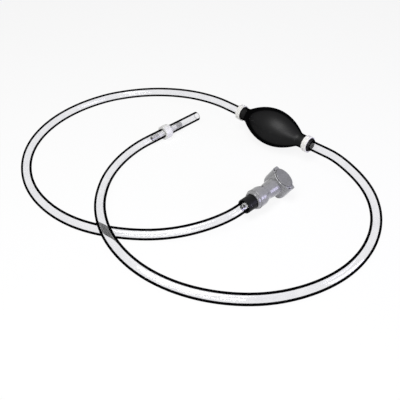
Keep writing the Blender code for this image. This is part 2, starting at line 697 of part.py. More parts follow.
def make_socket_seal():
    mean_d = SOCKET_D - 2 * SOCKET_SEAL_PROUD + SOCKET_SEAL_WIRE
    height = socket_floor + SOCKET_SEAL_AT
    seal_ring("socket_seal", mean_d, SOCKET_SEAL_WIRE, height, black_rubber, coupling_frame)


# A cubic curve through the route with set directions at both ends, read off at even steps
def smooth_route(route, first_way, last_way, step):
    spots = np.array(route)
    chord = np.linalg.norm(np.diff(spots, axis=0), axis=1)
    count = len(spots)
    matrix = np.eye(count)
    target = np.zeros((count, 3))
    target[0], target[-1] = first_way, last_way
    for i in range(1, count - 1):
        matrix[i, i - 1:i + 2] = 1 / chord[i - 1], 2 / chord[i - 1] + 2 / chord[i], 1 / chord[i]
        target[i] = 3 * (spots[i] - spots[i - 1]) / chord[i - 1] ** 2
        target[i] += 3 * (spots[i + 1] - spots[i]) / chord[i] ** 2
    slope = np.linalg.solve(matrix, target)
    fine = []
    for i in range(count - 1):
        for t in np.linspace(0.0, 1.0, 40, endpoint=False):
            near = (1 + 2 * t) * (1 - t) ** 2 * spots[i] + t * (1 - t) ** 2 * chord[i] * slope[i]
            far = t * t * (3 - 2 * t) * spots[i + 1] - t * t * (1 - t) * chord[i] * slope[i + 1]
            fine.append(near + far)
    fine = np.array(fine + [spots[-1]])
    fine[:, 2] = np.maximum(fine[:, 2], HOSE_OD / 2)
    along = np.concatenate(([0.0], np.cumsum(np.linalg.norm(np.diff(fine, axis=0), axis=1))))
    wanted = np.linspace(0.0, along[-1], round(along[-1] / step) + 1)
    return np.column_stack([np.interp(wanted, along, fine[:, axis]) for axis in range(3)])


# The hose leaves each fitting straight, then follows its route along the floor
def hose_line(start, start_way, start_lead, route, end, end_way, end_lead):
    first = start + start_way * start_lead
    last = end - end_way * end_lead
    middle = [Vector((x, y, low + HOSE_OD / 2)) for x, y, low in route]
    curve = smooth_route([first] + middle + [last], start_way, end_way, HOSE_STEP)
    return [start] + [Vector(point) for point in curve] + [end]


def make_hose(name, line):
    curve = bpy.data.curves.new(name, "CURVE")
    curve.dimensions = "3D"
    curve.bevel_depth = HOSE_OD / 2
    curve.bevel_resolution = HOSE_BEVEL
    add_spline(curve, line, False)
    mesh = mesh_of_curve(name, curve)
    mesh.shade_smooth()
    hose = add_part(name, mesh, clear_vinyl)
    wall = hose.modifiers.new("wall", "SOLIDIFY")
    wall.thickness = (HOSE_OD - HOSE_ID) / 2
    wall.offset = -1.0
    wall.use_even_offset = True
    length = sum((b - a).length for a, b in zip(line, line[1:]))
    print(name, "length, mm:", round(length * 1000, 1))


def make_hoses():
    x_way = Vector((1.0, 0.0, 0.0))
    y_way = Vector((0.0, 1.0, 0.0))
    outlet = outlet_frame.matrix_world.translation
    inlet = inlet_frame.matrix_world.translation
    stem = coupling_frame.matrix_world.translation + y_way * (STEM_FLANGE_AT - SEAT_GAP)
    flange = union_frame.matrix_world.translation
    outlet_lead = outlet_end - valve_at + BULB_LEAD
    inlet_lead = inlet_end - valve_at + BULB_LEAD
    delivery = hose_line(outlet, -x_way, outlet_lead, DELIVERY_ROUTE, stem, y_way, COUPLING_LEAD)
    make_hose("delivery_hose", delivery)
    suction = hose_line(inlet, x_way, inlet_lead, SUCTION_ROUTE, flange - y_way * SEAT_GAP, y_way, UNION_LEAD)
    make_hose("suction_hose", suction)
    tail = flange + y_way * (FLANGE_L + SEAT_GAP)
    make_hose("suction_tail", [tail, tail + y_way * TAIL_L / 2, tail + y_way * TAIL_L])


clear_scene()
parts = add_collection("siphon_bulb_pump")
cutters = add_collection("cutters")

black_rubber = plastic("moulded black rubber", (0.012, 0.012, 0.013), 0.45)
black_plastic = plastic("moulded black plastic", (0.016, 0.016, 0.020), 0.35)
white_nylon = plastic("white nylon", (0.82, 0.82, 0.80), 0.40)
clear_nylon = plastic("natural nylon", (0.80, 0.80, 0.79), 0.30, 0.85)
clear_vinyl = plastic("clear vinyl", (0.86, 0.87, 0.88), 0.10, 0.35)
grey_plastic = plastic("grey moulded plastic", (0.25, 0.25, 0.27), 0.30)
steel = plastic("stainless steel", (0.60, 0.60, 0.60), 0.25, 1.0, 1.0)

# Places along the bulb, from the middle of its body
inlet_end = BULB_BODY_L / 2 + INLET_NECK_L
outlet_end = BULB_BODY_L / 2 + OUTLET_NECK_L
valve_at = BULB_BODY_L / 2 + VALVE_SETBACK

# Places along the coupling, from the sleeve's open end
socket_floor = COUPLING_L - SOCKET_L
seat_low = socket_floor - THROAT_L - (SHUTOFF_D - THROAT_D) / 2

# The body sits off the origin so that the necks' ends stand evenly about it
bulb_centre = Vector(((OUTLET_NECK_L - INLET_NECK_L) / 2, 0.0, BULB_D / 2))
along_bulb = Vector((valve_at, 0.0, 0.0))
to_right = Matrix.Rotation(math.radians(90.0), 3, "Y")
to_left = Matrix.Rotation(math.radians(-90.0), 3, "Y")
to_back = Matrix.Rotation(math.radians(-90.0), 3, "X")
bulb_frame = add_frame("bulb_axis", bulb_centre, to_right)
inlet_frame = add_frame("inlet_axis", bulb_centre + along_bulb, to_right)
outlet_frame = add_frame("outlet_axis", bulb_centre - along_bulb, to_left)
union_frame = add_frame("union_axis", (UNION_X, UNION_Y, FLANGE_D / 2), to_back)

# The coupling rests on the rounded foot of its rolled head
roll = math.radians(LATCH_ROLL_DEG)
foot_reach = (HEAD_W / 2 - HEAD_FOOT) * math.sin(roll) + (HEAD_LOW - HEAD_FOOT) * math.cos(roll)
coupling_at = Vector((COUPLING_X, COUPLING_Y, foot_reach + HEAD_FOOT))
coupling_frame = add_frame("coupling_axis", coupling_at, to_back)

# The latch's own frame: x along the coupling, z out through the thumb pad
latch_turn = Matrix(((0.0, -math.cos(roll), math.sin(roll)),
                     (1.0, 0.0, 0.0),
                     (0.0, math.sin(roll), math.cos(roll))))
latch_frame = add_frame("latch_axis", coupling_at + Vector((0.0, HEAD_AT, 0.0)), latch_turn)

make_bulb()
make_clamp("inlet_neck_clamp", inlet_frame, INLET_NECK_L, INLET_CLAMP_INSET)
make_clamp("outlet_neck_clamp", outlet_frame, OUTLET_NECK_L, OUTLET_CLAMP_INSET)
make_inlet_valve()
make_outlet_valve()
make_union()
make_sleeve()
make_stem()
make_housing()
make_latch()
make_poppet()
make_socket_seal()
bpy.context.view_layer.update()
make_hoses()
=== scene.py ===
# Siphon bulb pump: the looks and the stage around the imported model. Metres, +Z up.
import json
import math

import bmesh
import bpy
import numpy as np
from mathutils import Matrix, Vector


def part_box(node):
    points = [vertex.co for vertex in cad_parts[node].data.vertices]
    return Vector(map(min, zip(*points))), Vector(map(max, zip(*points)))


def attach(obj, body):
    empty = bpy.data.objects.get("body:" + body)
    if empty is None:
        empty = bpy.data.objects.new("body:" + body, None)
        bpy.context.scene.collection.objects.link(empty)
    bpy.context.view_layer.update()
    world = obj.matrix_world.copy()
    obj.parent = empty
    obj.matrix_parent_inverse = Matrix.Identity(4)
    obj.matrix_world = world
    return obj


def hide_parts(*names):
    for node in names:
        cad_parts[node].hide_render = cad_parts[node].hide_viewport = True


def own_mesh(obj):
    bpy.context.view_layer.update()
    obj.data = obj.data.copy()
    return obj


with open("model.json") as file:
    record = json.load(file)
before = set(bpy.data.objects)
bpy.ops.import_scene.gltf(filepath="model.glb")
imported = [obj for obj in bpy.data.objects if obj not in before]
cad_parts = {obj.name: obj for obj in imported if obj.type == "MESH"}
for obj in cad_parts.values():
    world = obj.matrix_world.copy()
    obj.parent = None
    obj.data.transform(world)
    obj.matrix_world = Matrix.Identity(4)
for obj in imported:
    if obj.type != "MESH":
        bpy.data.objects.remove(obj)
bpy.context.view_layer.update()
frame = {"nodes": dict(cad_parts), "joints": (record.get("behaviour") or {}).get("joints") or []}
nodes = frame["nodes"]
scene = bpy.context.scene
print("frame loaded:", len(nodes), "nodes")


def linear(code):
    parts = [int(code[i:i + 2], 16) / 255.0 for i in (1, 3, 5)]
    return [p / 12.92 if p <= 0.04045 else ((p + 0.055) / 1.055) ** 2.4 for p in parts] + [1.0]


# Adds a node: sockets take a value or another node's output, the rest are the node's own settings
def addNode(tree, kind, sockets=None, **settings):
    node = tree.nodes.new(kind)
    for name, value in settings.items():
        setattr(node, name, value)
    for name, value in (sockets or {}).items():
        if isinstance(value, bpy.types.NodeSocket):
            tree.links.new(value, node.inputs[name])
        else:
            node.inputs[name].default_value = value
    return node


def newMaterial(name):
    material = bpy.data.materials.new(name)
    material.use_nodes = True
    material.node_tree.nodes.clear()
    return material, material.node_tree


def stops(ramp, marks):
    elements = ramp.color_ramp.elements
    while len(elements) < len(marks):
        elements.new(0.5)
    for element, (place, code) in zip(elements, marks):
        element.position = place
        element.color = linear(code)


# Nitrile rubber from a steel mould: near black, satin, with a faint bloom and a spark-eroded grain, which is
# drawn coarser than the real one so that it shows
rubberLook = {"dark": "#070708", "bloom": "#0b0b0c", "bloomMm": 22.0, "grainMm": 0.9, "grain": 0.08,
              "grainDeep": 0.0002, "smooth": 0.40, "rough": 0.46, "ior": 1.52, "shine": 0.23,
              "dullShine": 0.0, "shineFrom": 0.02, "shineTo": 0.50}


def makeRubber():
    material, tree = newMaterial("nitrile rubber, moulded")
    place = addNode(tree, "ShaderNodeTexCoord").outputs["Object"]
    bloom = addNode(tree, "ShaderNodeTexNoise", {"Vector": place, "Scale": 1000.0 / rubberLook["bloomMm"],
                                                 "Detail": 4.0, "Roughness": 0.6})
    tone = addNode(tree, "ShaderNodeValToRGB", {"Fac": bloom.outputs["Fac"]})
    stops(tone, [(0.35, rubberLook["dark"]), (0.70, rubberLook["bloom"])])
    grain = addNode(tree, "ShaderNodeTexNoise", {"Vector": place, "Scale": 1000.0 / rubberLook["grainMm"],
                                                 "Detail": 3.0})
    gloss = addNode(tree, "ShaderNodeMapRange", {
        "Value": bloom.outputs["Fac"], "From Min": 0.3, "From Max": 0.7,
        "To Min": rubberLook["smooth"], "To Max": rubberLook["rough"]})
    bump = addNode(tree, "ShaderNodeBump", {"Height": grain.outputs["Fac"], "Strength": rubberLook["grain"],
                                            "Distance": rubberLook["grainDeep"]})
    # The powdery bloom swallows the gloss where the skin is met edge on
    facing = addNode(tree, "ShaderNodeLayerWeight", {"Blend": 0.5}).outputs["Facing"]
    shine = addNode(tree, "ShaderNodeMapRange", {
        "Value": facing, "From Min": rubberLook["shineFrom"], "From Max": rubberLook["shineTo"],
        "To Min": rubberLook["shine"], "To Max": rubberLook["dullShine"]})
    shader = addNode(tree, "ShaderNodeBsdfPrincipled", {
        "Base Color": tone.outputs["Color"], "Roughness": gloss.outputs["Result"], "IOR": rubberLook["ior"],
        "Specular IOR Level": shine.outputs["Result"], "Normal": bump.outputs["Normal"]})
    addNode(tree, "ShaderNodeOutputMaterial", {"Surface": shader.outputs["BSDF"]})
    return material


# Moulded thermoplastics: smooth skin, slight flow clouds, very shallow orange peel
plasticLook = {"smoother": 0.04, "rougher": 0.05, "peelDeep": 0.0002, "glowDeep": 0.0012, "coatRough": 0.16}


def makePlastic(name, tone, cloud, roughness, ior=1.52, cloudMm=9.0, peelMm=1.6, peel=0.06,
                glow=0.0, coat=0.0, shine=0.5):
    material, tree = newMaterial(name)
    place = addNode(tree, "ShaderNodeTexCoord").outputs["Object"]
    flow = addNode(tree, "ShaderNodeTexNoise", {"Vector": place, "Scale": 1000.0 / cloudMm, "Detail": 3.0,
                                                "Distortion": 0.6})
    colour = addNode(tree, "ShaderNodeValToRGB", {"Fac": flow.outputs["Fac"]})
    stops(colour, [(0.35, tone), (0.68, cloud)])
    skin = addNode(tree, "ShaderNodeTexNoise", {"Vector": place, "Scale": 1000.0 / peelMm, "Detail": 2.0})
    gloss = addNode(tree, "ShaderNodeMapRange", {
        "Value": skin.outputs["Fac"], "From Min": 0.3, "From Max": 0.7,
        "To Min": roughness - plasticLook["smoother"], "To Max": roughness + plasticLook["rougher"]})
    bump = addNode(tree, "ShaderNodeBump", {"Height": skin.outputs["Fac"], "Strength": peel,
                                            "Distance": plasticLook["peelDeep"]})
    shader = addNode(tree, "ShaderNodeBsdfPrincipled", {
        "Base Color": colour.outputs["Color"], "Roughness": gloss.outputs["Result"], "IOR": ior,
        "Normal": bump.outputs["Normal"], "Subsurface Weight": glow, "Subsurface Radius": (1.0, 1.0, 1.0),
        "Subsurface Scale": plasticLook["glowDeep"], "Coat Weight": coat,
        "Coat Roughness": plasticLook["coatRough"], "Specular IOR Level": shine})
    addNode(tree, "ShaderNodeOutputMaterial", {"Surface": shader.outputs["BSDF"]})
    return material


# Clear plasticised PVC, extruded: a glassy wall with faint draw lines. Light that meets the wall edge on is
# mirrored along inside it; the hose's two dark sides are painted shade, and a hose seen through another one
# gets painted shade that dims it
vinylLook = {"clear": "#f9f9fa", "cloud": "#f3f3f5", "cloudMm": 14.0, "ior": 1.50, "rough": 0.015,
             "lineMm": 1.4, "lineRuns": 12.0, "lines": 0.003, "lineDeep": 0.0001, "shadow": "#f8f8f8",
             "edge": "#060607", "paintedEdgeFrom": 0.70, "paintedEdgeTo": 0.63, "paintedOverlapDim": 0.92, "paintedOverlapAfter": 3.5}


def makeVinyl(name, isOuter):
    material, tree = newMaterial(name)
    place = addNode(tree, "ShaderNodeUVMap", uv_map="hose").outputs["UV"]
    stretch = (vinylLook["lineRuns"], 1000.0 / vinylLook["lineMm"], 1.0)
    drawn = addNode(tree, "ShaderNodeMapping", {"Vector": place, "Scale": stretch}).outputs["Vector"]
    lines = addNode(tree, "ShaderNodeTexNoise", {"Vector": drawn, "Scale": 1.0, "Detail": 2.0})
    gloss = addNode(tree, "ShaderNodeMapRange", {
        "Value": lines.outputs["Fac"], "From Min": 0.3, "From Max": 0.7, "To Min": 0.0,
        "To Max": vinylLook["rough"]})
    bump = addNode(tree, "ShaderNodeBump", {"Height": lines.outputs["Fac"], "Strength": vinylLook["lines"],
                                            "Distance": vinylLook["lineDeep"]})
    cloud = addNode(tree, "ShaderNodeTexNoise", {"Vector": place, "Scale": 1000.0 / vinylLook["cloudMm"],
                                                 "Detail": 2.0})
    tint = addNode(tree, "ShaderNodeValToRGB", {"Fac": cloud.outputs["Fac"]})
    stops(tint, [(0.35, vinylLook["clear"]), (0.70, vinylLook["cloud"])])
    shader = addNode(tree, "ShaderNodeBsdfPrincipled", {
        "Base Color": tint.outputs["Color"], "Roughness": gloss.outputs["Result"], "IOR": vinylLook["ior"],
        "Transmission Weight": 1.0, "Normal": bump.outputs["Normal"]})
    surface = shader.outputs["BSDF"]
    rays = addNode(tree, "ShaderNodeLightPath")
    if isOuter:
        # How squarely the skin is met across the hose: n * n / (1 - a * a), from its normal and its axis
        axis = addNode(tree, "ShaderNodeTangent", direction_type="UV_MAP", uv_map="hose").outputs["Tangent"]
        squares = []
        for sockets in ({"Blend": 0.5}, {"Blend": 0.5, "Normal": axis}):
            facing = addNode(tree, "ShaderNodeLayerWeight", sockets).outputs["Facing"]
            cosine = addNode(tree, "ShaderNodeMath", {0: 1.0, 1: facing}, operation="SUBTRACT").outputs[0]
            product = addNode(tree, "ShaderNodeMath", {0: cosine, 1: cosine}, operation="MULTIPLY")
            squares.append(product.outputs[0])
        across = addNode(tree, "ShaderNodeMath", {0: 1.0, 1: squares[1]}, operation="SUBTRACT").outputs[0]
        square = addNode(tree, "ShaderNodeMath", {0: squares[0], 1: across}, operation="DIVIDE").outputs[0]
        # Painted shade: where the skin is met edge on, a dark diffuse is mixed in for the hose's two dark
        # sides
        edge = addNode(tree, "ShaderNodeMapRange", {"Value": square, "From Min": vinylLook["paintedEdgeFrom"],
                                                    "From Max": vinylLook["paintedEdgeTo"]}).outputs["Result"]
        # Painted shade: a hose seen through another one, past this many walls, gets the dark diffuse mixed in
        depth = rays.outputs["Transmission Depth"]
        behind = addNode(tree, "ShaderNodeMath", {0: depth, 1: vinylLook["paintedOverlapAfter"]},
                         operation="GREATER_THAN").outputs[0]
        paintedOverlapShade = addNode(tree, "ShaderNodeMath", {0: behind, 1: vinylLook["paintedOverlapDim"]},
                         operation="MULTIPLY").outputs[0]
        dark = addNode(tree, "ShaderNodeMath", {0: edge, 1: paintedOverlapShade}, operation="MAXIMUM").outputs[0]
        paintedEdgeShade = addNode(tree, "ShaderNodeBsdfDiffuse", {"Color": linear(vinylLook["edge"])}).outputs["BSDF"]
        surface = addNode(tree, "ShaderNodeMixShader", {"Fac": dark, 1: surface, 2: paintedEdgeShade}).outputs[0]
    # Lamp light and light from other pieces goes straight through the wall
    through = addNode(tree, "ShaderNodeBsdfTransparent", {"Color": linear(vinylLook["shadow"])})
    for ray in ("Is Shadow Ray", "Is Diffuse Ray"):
        surface = addNode(tree, "ShaderNodeMixShader", {"Fac": rays.outputs[ray], 1: surface,
                                                        2: through.outputs["BSDF"]}).outputs[0]
    addNode(tree, "ShaderNodeOutputMaterial", {"Surface": surface})
    return material


# Stainless steel, drawn wire and ground balls: bright, with draw marks as coarse as they need to be to show
steelLook = {"dark": "#a9aaac", "bright": "#c6c7c9", "markMm": 0.8, "smooth": 0.18, "rough": 0.34}


def makeSteel():
    material, tree = newMaterial("stainless steel, drawn")
    place = addNode(tree, "ShaderNodeTexCoord").outputs["Object"]
    marks = addNode(tree, "ShaderNodeTexNoise", {"Vector": place, "Scale": 1000.0 / steelLook["markMm"],
                                                 "Detail": 4.0})
    tone = addNode(tree, "ShaderNodeValToRGB", {"Fac": marks.outputs["Fac"]})
    stops(tone, [(0.3, steelLook["dark"]), (0.7, steelLook["bright"])])
    gloss = addNode(tree, "ShaderNodeMapRange", {"Value": marks.outputs["Fac"], "To Min": steelLook["smooth"],
                                                 "To Max": steelLook["rough"]})
    shader = addNode(tree, "ShaderNodeBsdfPrincipled", {
        "Base Color": tone.outputs["Color"], "Metallic": 1.0, "Roughness": gloss.outputs["Result"]})
    addNode(tree, "ShaderNodeOutputMaterial", {"Surface": shader.outputs["BSDF"]})
    return material


blackRubber = makeRubber()
# Dense warm white that light enters a little way
whiteNylon = makePlastic("nylon 66, moulded", "#e9e8e4", "#f4f3f0", 0.38, peel=0.08, glow=0.15)
# Undyed and milky, with a waxy sheen
naturalPlastic = makePlastic("polypropylene, moulded", "#dededc", "#ebebe9", 0.32, ior=1.49)
# Painted shade: the ridges inside the hose get a greyer copy of the polypropylene, and a deep bore, which
# gives back little light, a near black one
ridgeShadePlastic = makePlastic("polypropylene, painted ridge shade", "#a3a3a2", "#b4b4b2", 0.30, ior=1.49, cloudMm=4.0)
boreShadePlastic = makePlastic("polypropylene, painted bore shade", "#2c2c2c", "#383838", 0.45, ior=1.49, cloudMm=3.0)
# The knife leaves a frosted ring at the hose's end
cutVinyl = makePlastic("PVC, knife-cut", "#6c6c6e", "#858587", 0.45, cloudMm=2.0, peelMm=0.6, peel=0.2)
# Hard and slick, with clear highlights; the latch gets a darker copy of the body's grey as painted shade
greyAcetal = makePlastic("acetal, moulded grey", "#7a7a7c", "#848486", 0.28, ior=1.48, coat=1.0)
shadedLatchAcetal = makePlastic("acetal, painted shade on latch", "#666668", "#6f6f71", 0.28, ior=1.48, coat=1.0)
# Glass fibre leaves the black skin dull
blackNylon = makePlastic("glass-filled nylon, moulded", "#0c0c0e", "#121214", 0.42, peelMm=0.9, peel=0.10,
                         shine=0.10)
clearVinyl = makeVinyl("clear PVC, extruded", True)
clearBore = makeVinyl("clear PVC, drawn bore", False)
brightSteel = makeSteel()
print("materials made")


def dress(piece, material):
    piece.data.materials.clear()
    piece.data.materials.append(material)


def smoothShade(mesh, angle=35.0):
    mesh.shade_smooth()
    mesh.set_sharp_from_angle(angle=math.radians(angle))


def addPiece(name, mesh, materials, body="pump", replaced=()):
    piece = bpy.data.objects.new(name, mesh)
    scene.collection.objects.link(piece)
    for material in materials:
        mesh.materials.append(material)
    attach(piece, body)
    if replaced:
        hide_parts(*replaced)
    return piece


# Rounds the corners of an outline by up to the given radius, and never past the middle of a side
def softened(outline, radius, closed=True, steps=4):
    spots = [Vector(p) for p in outline]
    count = len(spots)
    made = []
    for i, spot in enumerate(spots):
        if not closed and i in (0, count - 1):
            made.append(tuple(spot))
            continue
        back, ahead = spots[i - 1] - spot, spots[(i + 1) % count] - spot
        reach = min(radius, back.length * 0.45, ahead.length * 0.45)
        start, end = spot + back.normalized() * reach, spot + ahead.normalized() * reach
        for k in range(steps + 1):
            t = k / steps
            made.append(tuple(start * (1 - t) ** 2 + spot * 2 * t * (1 - t) + end * t * t))
    return made


def meshFrom(work, name):
    mesh = bpy.data.meshes.new(name)
    work.to_mesh(mesh)
    work.free()
    return mesh


# Turns an outline of (radius, height) round Z: a closed one makes a ring, an open one starts and ends
# on the axis
def turnedMesh(name, outline, angles, closed=True, place=None):
    work = bmesh.new()
    turn = [(math.cos(a), math.sin(a)) for a in angles]
    rings = []
    for r, h in outline:
        if r < 1e-7:  # on the axis
            rings.append([work.verts.new((0.0, 0.0, h))] * len(turn))
        else:
            rings.append([work.verts.new((r * c, r * s, h)) for c, s in turn])
    for low, high in zip(rings, rings[1:] + ([rings[0]] if closed else [])):
        for i in range(len(turn)):
            j = (i + 1) % len(turn)
            corners = []
            for v in (low[i], low[j], high[j], high[i]):
                if v not in corners:
                    corners.append(v)
            work.faces.new(corners)
    bmesh.ops.recalc_face_normals(work, faces=work.faces)
    mesh = meshFrom(work, name)
    if place is not None:
        mesh.transform(place)
    return mesh


def evenAngles(count):
    return [2.0 * math.pi * i / count for i in range(count)]


# A plain mesh from an object with its modifiers applied
def applied(piece):
    bpy.context.view_layer.update()
    seen = piece.evaluated_get(bpy.context.evaluated_depsgraph_get())
    mesh = bpy.data.meshes.new_from_object(seen)
    bpy.data.objects.remove(piece)
    return mesh


def helperObject(name, mesh):
    piece = bpy.data.objects.new(name, mesh)
    scene.collection.objects.link(piece)
    return piece


def cut(mesh, tools, operation):
    piece = helperObject("work", mesh)
    helpers = []
    for tool in tools:
        helper = helperObject("tool", tool)
        helpers.append(helper)
        modifier = piece.modifiers.new("cut", "BOOLEAN")
        modifier.operation = operation
        modifier.solver = "EXACT"
        modifier.object = helper
    made = applied(piece)
    for helper in helpers:
        bpy.data.objects.remove(helper)
    return made


# A flat outline with any holes in it, as a plate about z = 0 with softly rounded edges
def plateMesh(name, outlines, thickness, edge=0.0):
    curve = bpy.data.curves.new(name, "CURVE")
    curve.dimensions = "2D"
    curve.fill_mode = "BOTH"
    curve.extrude = thickness / 2 - edge
    curve.bevel_depth = edge
    curve.bevel_resolution = 2
    curve.offset = -edge
    for outline in outlines:
        spline = curve.splines.new("POLY")
        spline.points.add(len(outline) - 1)
        for point, (x, y) in zip(spline.points, outline):
            point.co = (x, y, 0.0, 1.0)
        spline.use_cyclic_u = True
    mesh = applied(helperObject(name, curve))
    work = bmesh.new()
    work.from_mesh(mesh)
    bmesh.ops.remove_doubles(work, verts=work.verts, dist=1e-6)
    work.to_mesh(mesh)
    work.free()
    return mesh


def arc(radius, startDeg, endDeg, count, centre=(0.0, 0.0)):
    angles = [math.radians(startDeg + (endDeg - startDeg) * i / count) for i in range(count + 1)]
    return [(centre[0] + radius * math.cos(a), centre[1] + radius * math.sin(a)) for a in angles]


def circle(radius, count, centre):
    return arc(radius, 0.0, 360.0 * (count - 1) / count, count - 1, centre)


# Where the photograph was taken from
view = {"spot": (0.3615, -0.4988, 0.3951), "way": (-0.5495, 0.5495, -0.6293), "lens": 48.6, "sensor": 36.0}
lensData = bpy.data.cameras.new("photoCamera")
lensData.lens = view["lens"]
lensData.sensor_width = view["sensor"]
camera = bpy.data.objects.new("photoCamera", lensData)
camera.location = view["spot"]
camera.rotation_euler = Vector(view["way"]).to_track_quat("-Z", "Y").to_euler()
scene.collection.objects.link(camera)
scene.camera = camera
print("camera set")

# Hoses: routes as plan position and height of the underside, the same as the model's
hose = {"outer": 0.0127, "inner": 0.0095, "sides": 32, "step": 0.006, "routeSteps": 40,
        "outletEnd": (-0.0470, 0.0, 0.0240), "inletEnd": (0.0420, 0.0, 0.0240), "bulbLead": 0.0240,
        "outletGrip": 0.0130, "inletGrip": 0.0180, "unionLead": 0.0260, "unionEndY": -0.0970,
        "couplingLead": 0.0290, "tail": 0.0510, "tailSteps": 8}
deliveryRoute = [
    (-0.1240, -0.0025, 0.0155), (-0.1695, -0.0110, 0.0090), (-0.2105, -0.0320, 0.0030),
    (-0.2390, -0.0665, 0.0), (-0.2510, -0.1100, 0.0), (-0.2500, -0.1560, 0.0),
    (-0.2365, -0.1985, 0.0), (-0.2115, -0.2360, 0.0), (-0.1765, -0.2650, 0.0),
    (-0.1345, -0.2835, 0.0), (-0.0880, -0.2895, 0.0), (-0.0425, -0.2820, 0.0),
    (-0.0015, -0.2610, 0.0), (0.0345, -0.2305, 0.0015), (0.0610, -0.1945, 0.0065),
]
suctionRoute = [
    (0.1145, -0.0045, 0.0155), (0.1545, -0.0210, 0.0100), (0.1850, -0.0525, 0.0040),
    (0.2005, -0.0940, 0.0), (0.2025, -0.1385, 0.0), (0.1915, -0.1810, 0.0),
    (0.1690, -0.2195, 0.0), (0.1360, -0.2500, 0.0), (0.0975, -0.2710, 0.0015),
    (0.0545, -0.2825, 0.0070), (0.0105, -0.2790, 0.0132), (-0.0290, -0.2605, 0.0140),
    (-0.0625, -0.2330, 0.0085), (-0.0895, -0.2010, 0.0030), (-0.1070, -0.1610, 0.0018),
]


# A smooth curve through the route's points that leaves along firstWay and arrives along lastWay
def smoothRoute(route, firstWay, lastWay, step):
    spots = np.array(route)
    chord = np.linalg.norm(np.diff(spots, axis=0), axis=1)
    count = len(spots)
    matrix = np.eye(count)
    target = np.zeros((count, 3))
    target[0], target[-1] = firstWay, lastWay
    for i in range(1, count - 1):
        matrix[i, i - 1:i + 2] = 1 / chord[i - 1], 2 / chord[i - 1] + 2 / chord[i], 1 / chord[i]
        target[i] = 3 * (spots[i] - spots[i - 1]) / chord[i - 1] ** 2
        target[i] += 3 * (spots[i + 1] - spots[i]) / chord[i] ** 2
    slope = np.linalg.solve(matrix, target)
    fine = []
    for i in range(count - 1):
        for t in np.linspace(0.0, 1.0, hose["routeSteps"], endpoint=False):
            near = (1 + 2 * t) * (1 - t) ** 2 * spots[i] + t * (1 - t) ** 2 * chord[i] * slope[i]
            far = t * t * (3 - 2 * t) * spots[i + 1] - t * t * (1 - t) * chord[i] * slope[i + 1]
            fine.append(near + far)
    fine = np.array(fine + [spots[-1]])
    fine[:, 2] = np.maximum(fine[:, 2], hose["outer"] / 2)
    along = np.concatenate(([0.0], np.cumsum(np.linalg.norm(np.diff(fine, axis=0), axis=1))))
    wanted = np.linspace(0.0, along[-1], round(along[-1] / step) + 1)
    return np.column_stack([np.interp(wanted, along, fine[:, axis]) for axis in range(3)])


def hoseLine(start, startWay, startLead, route, end, endWay, endLead):
    first, last = start + startWay * startLead, end - endWay * endLead
    middle = [Vector((x, y, low + hose["outer"] / 2)) for x, y, low in route]
    curve = smoothRoute([first] + middle + [last], startWay, endWay, hose["step"])
    return [start] + [Vector(p) for p in curve] + [end]


# A hollow tube along a line, with square-cut ends and its length laid out in UVs
def tubeMesh(name, line, outer, inner, sides):
    work = bmesh.new()
    layer = work.loops.layers.uv.new("hose")
    ways = [(line[min(i + 1, len(line) - 1)] - line[max(i - 1, 0)]).normalized() for i in range(len(line))]
    across = Vector((0.0, 0.0, 1.0)).cross(ways[0]).normalized()
    along = 0.0
    skins = {outer: [], inner: []}
    marks = []
    for i, (spot, way) in enumerate(zip(line, ways)):
        along += (spot - line[i - 1]).length if i else 0.0
        marks.append(along)
        across = (across - way * across.dot(way)).normalized()
        up = way.cross(across)
        for radius, rings in skins.items():
            rings.append([work.verts.new(spot + (across * math.cos(a) + up * math.sin(a)) * radius)
                          for a in evenAngles(sides)])

    def band(low, high, lowMark, highMark, reach, index):
        for k in range(sides):
            j = (k + 1) % sides
            face = work.faces.new((low[k], low[j], high[j], high[k]))
            face.material_index = index
            turns = (k / sides, (k + 1) / sides)
            spots = ((turns[0], lowMark), (turns[1], lowMark), (turns[1], highMark), (turns[0], highMark))
            for loop, (t, mark) in zip(face.loops, spots):
                loop[layer].uv = (mark, t * 2.0 * math.pi * reach)

    for index, (radius, rings) in enumerate(skins.items()):
        for i in range(len(line) - 1):
            band(rings[i], rings[i + 1], marks[i], marks[i + 1], radius, index)
    for i in (0, -1):
        band(skins[outer][i], skins[inner][i], marks[i], marks[i], inner, 2)
    bmesh.ops.recalc_face_normals(work, faces=work.faces)
    mesh = meshFrom(work, name)
    smoothShade(mesh)
    return mesh


def lineLength(line):
    return sum((b - a).length for a, b in zip(line, line[1:]))


xWay, yWay = Vector((1.0, 0.0, 0.0)), Vector((0.0, 1.0, 0.0))
unionLow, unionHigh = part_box("barbed_union")
sleeveLow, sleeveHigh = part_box("coupling_hose_sleeve")
couplingMiddle = (sleeveLow + sleeveHigh) / 2
unionMiddle = (unionLow + unionHigh) / 2
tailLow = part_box("suction_tail")[0]
stemEnd = Vector((couplingMiddle.x, sleeveHigh.y, couplingMiddle.z))
flangeEnd = Vector((unionMiddle.x, hose["unionEndY"], unionMiddle.z))
tailStart = Vector((unionMiddle.x, tailLow.y, unionMiddle.z))

outletEnd, inletEnd = Vector(hose["outletEnd"]), Vector(hose["inletEnd"])
deliveryLine = hoseLine(outletEnd, -xWay, hose["outletGrip"] + hose["bulbLead"], deliveryRoute,
                        stemEnd, yWay, hose["couplingLead"])
suctionLine = hoseLine(inletEnd, xWay, hose["inletGrip"] + hose["bulbLead"], suctionRoute,
                       flangeEnd, yWay, hose["unionLead"])
tailLine = [tailStart + yWay * hose["tail"] * i / hose["tailSteps"] for i in range(hose["tailSteps"] + 1)]
hoseLines = {"delivery_hose": deliveryLine, "suction_hose": suctionLine, "suction_tail": tailLine}
for name, line in hoseLines.items():
    mesh = tubeMesh(name + "_tube", line, hose["outer"] / 2, hose["inner"] / 2, hose["sides"])
    addPiece(name + "_tube", mesh, [clearVinyl, clearBore, cutVinyl],
                                replaced=(name,))
    print(name, "length, mm:", round(lineLength(line) * 1000, 1))
print("hoses made")

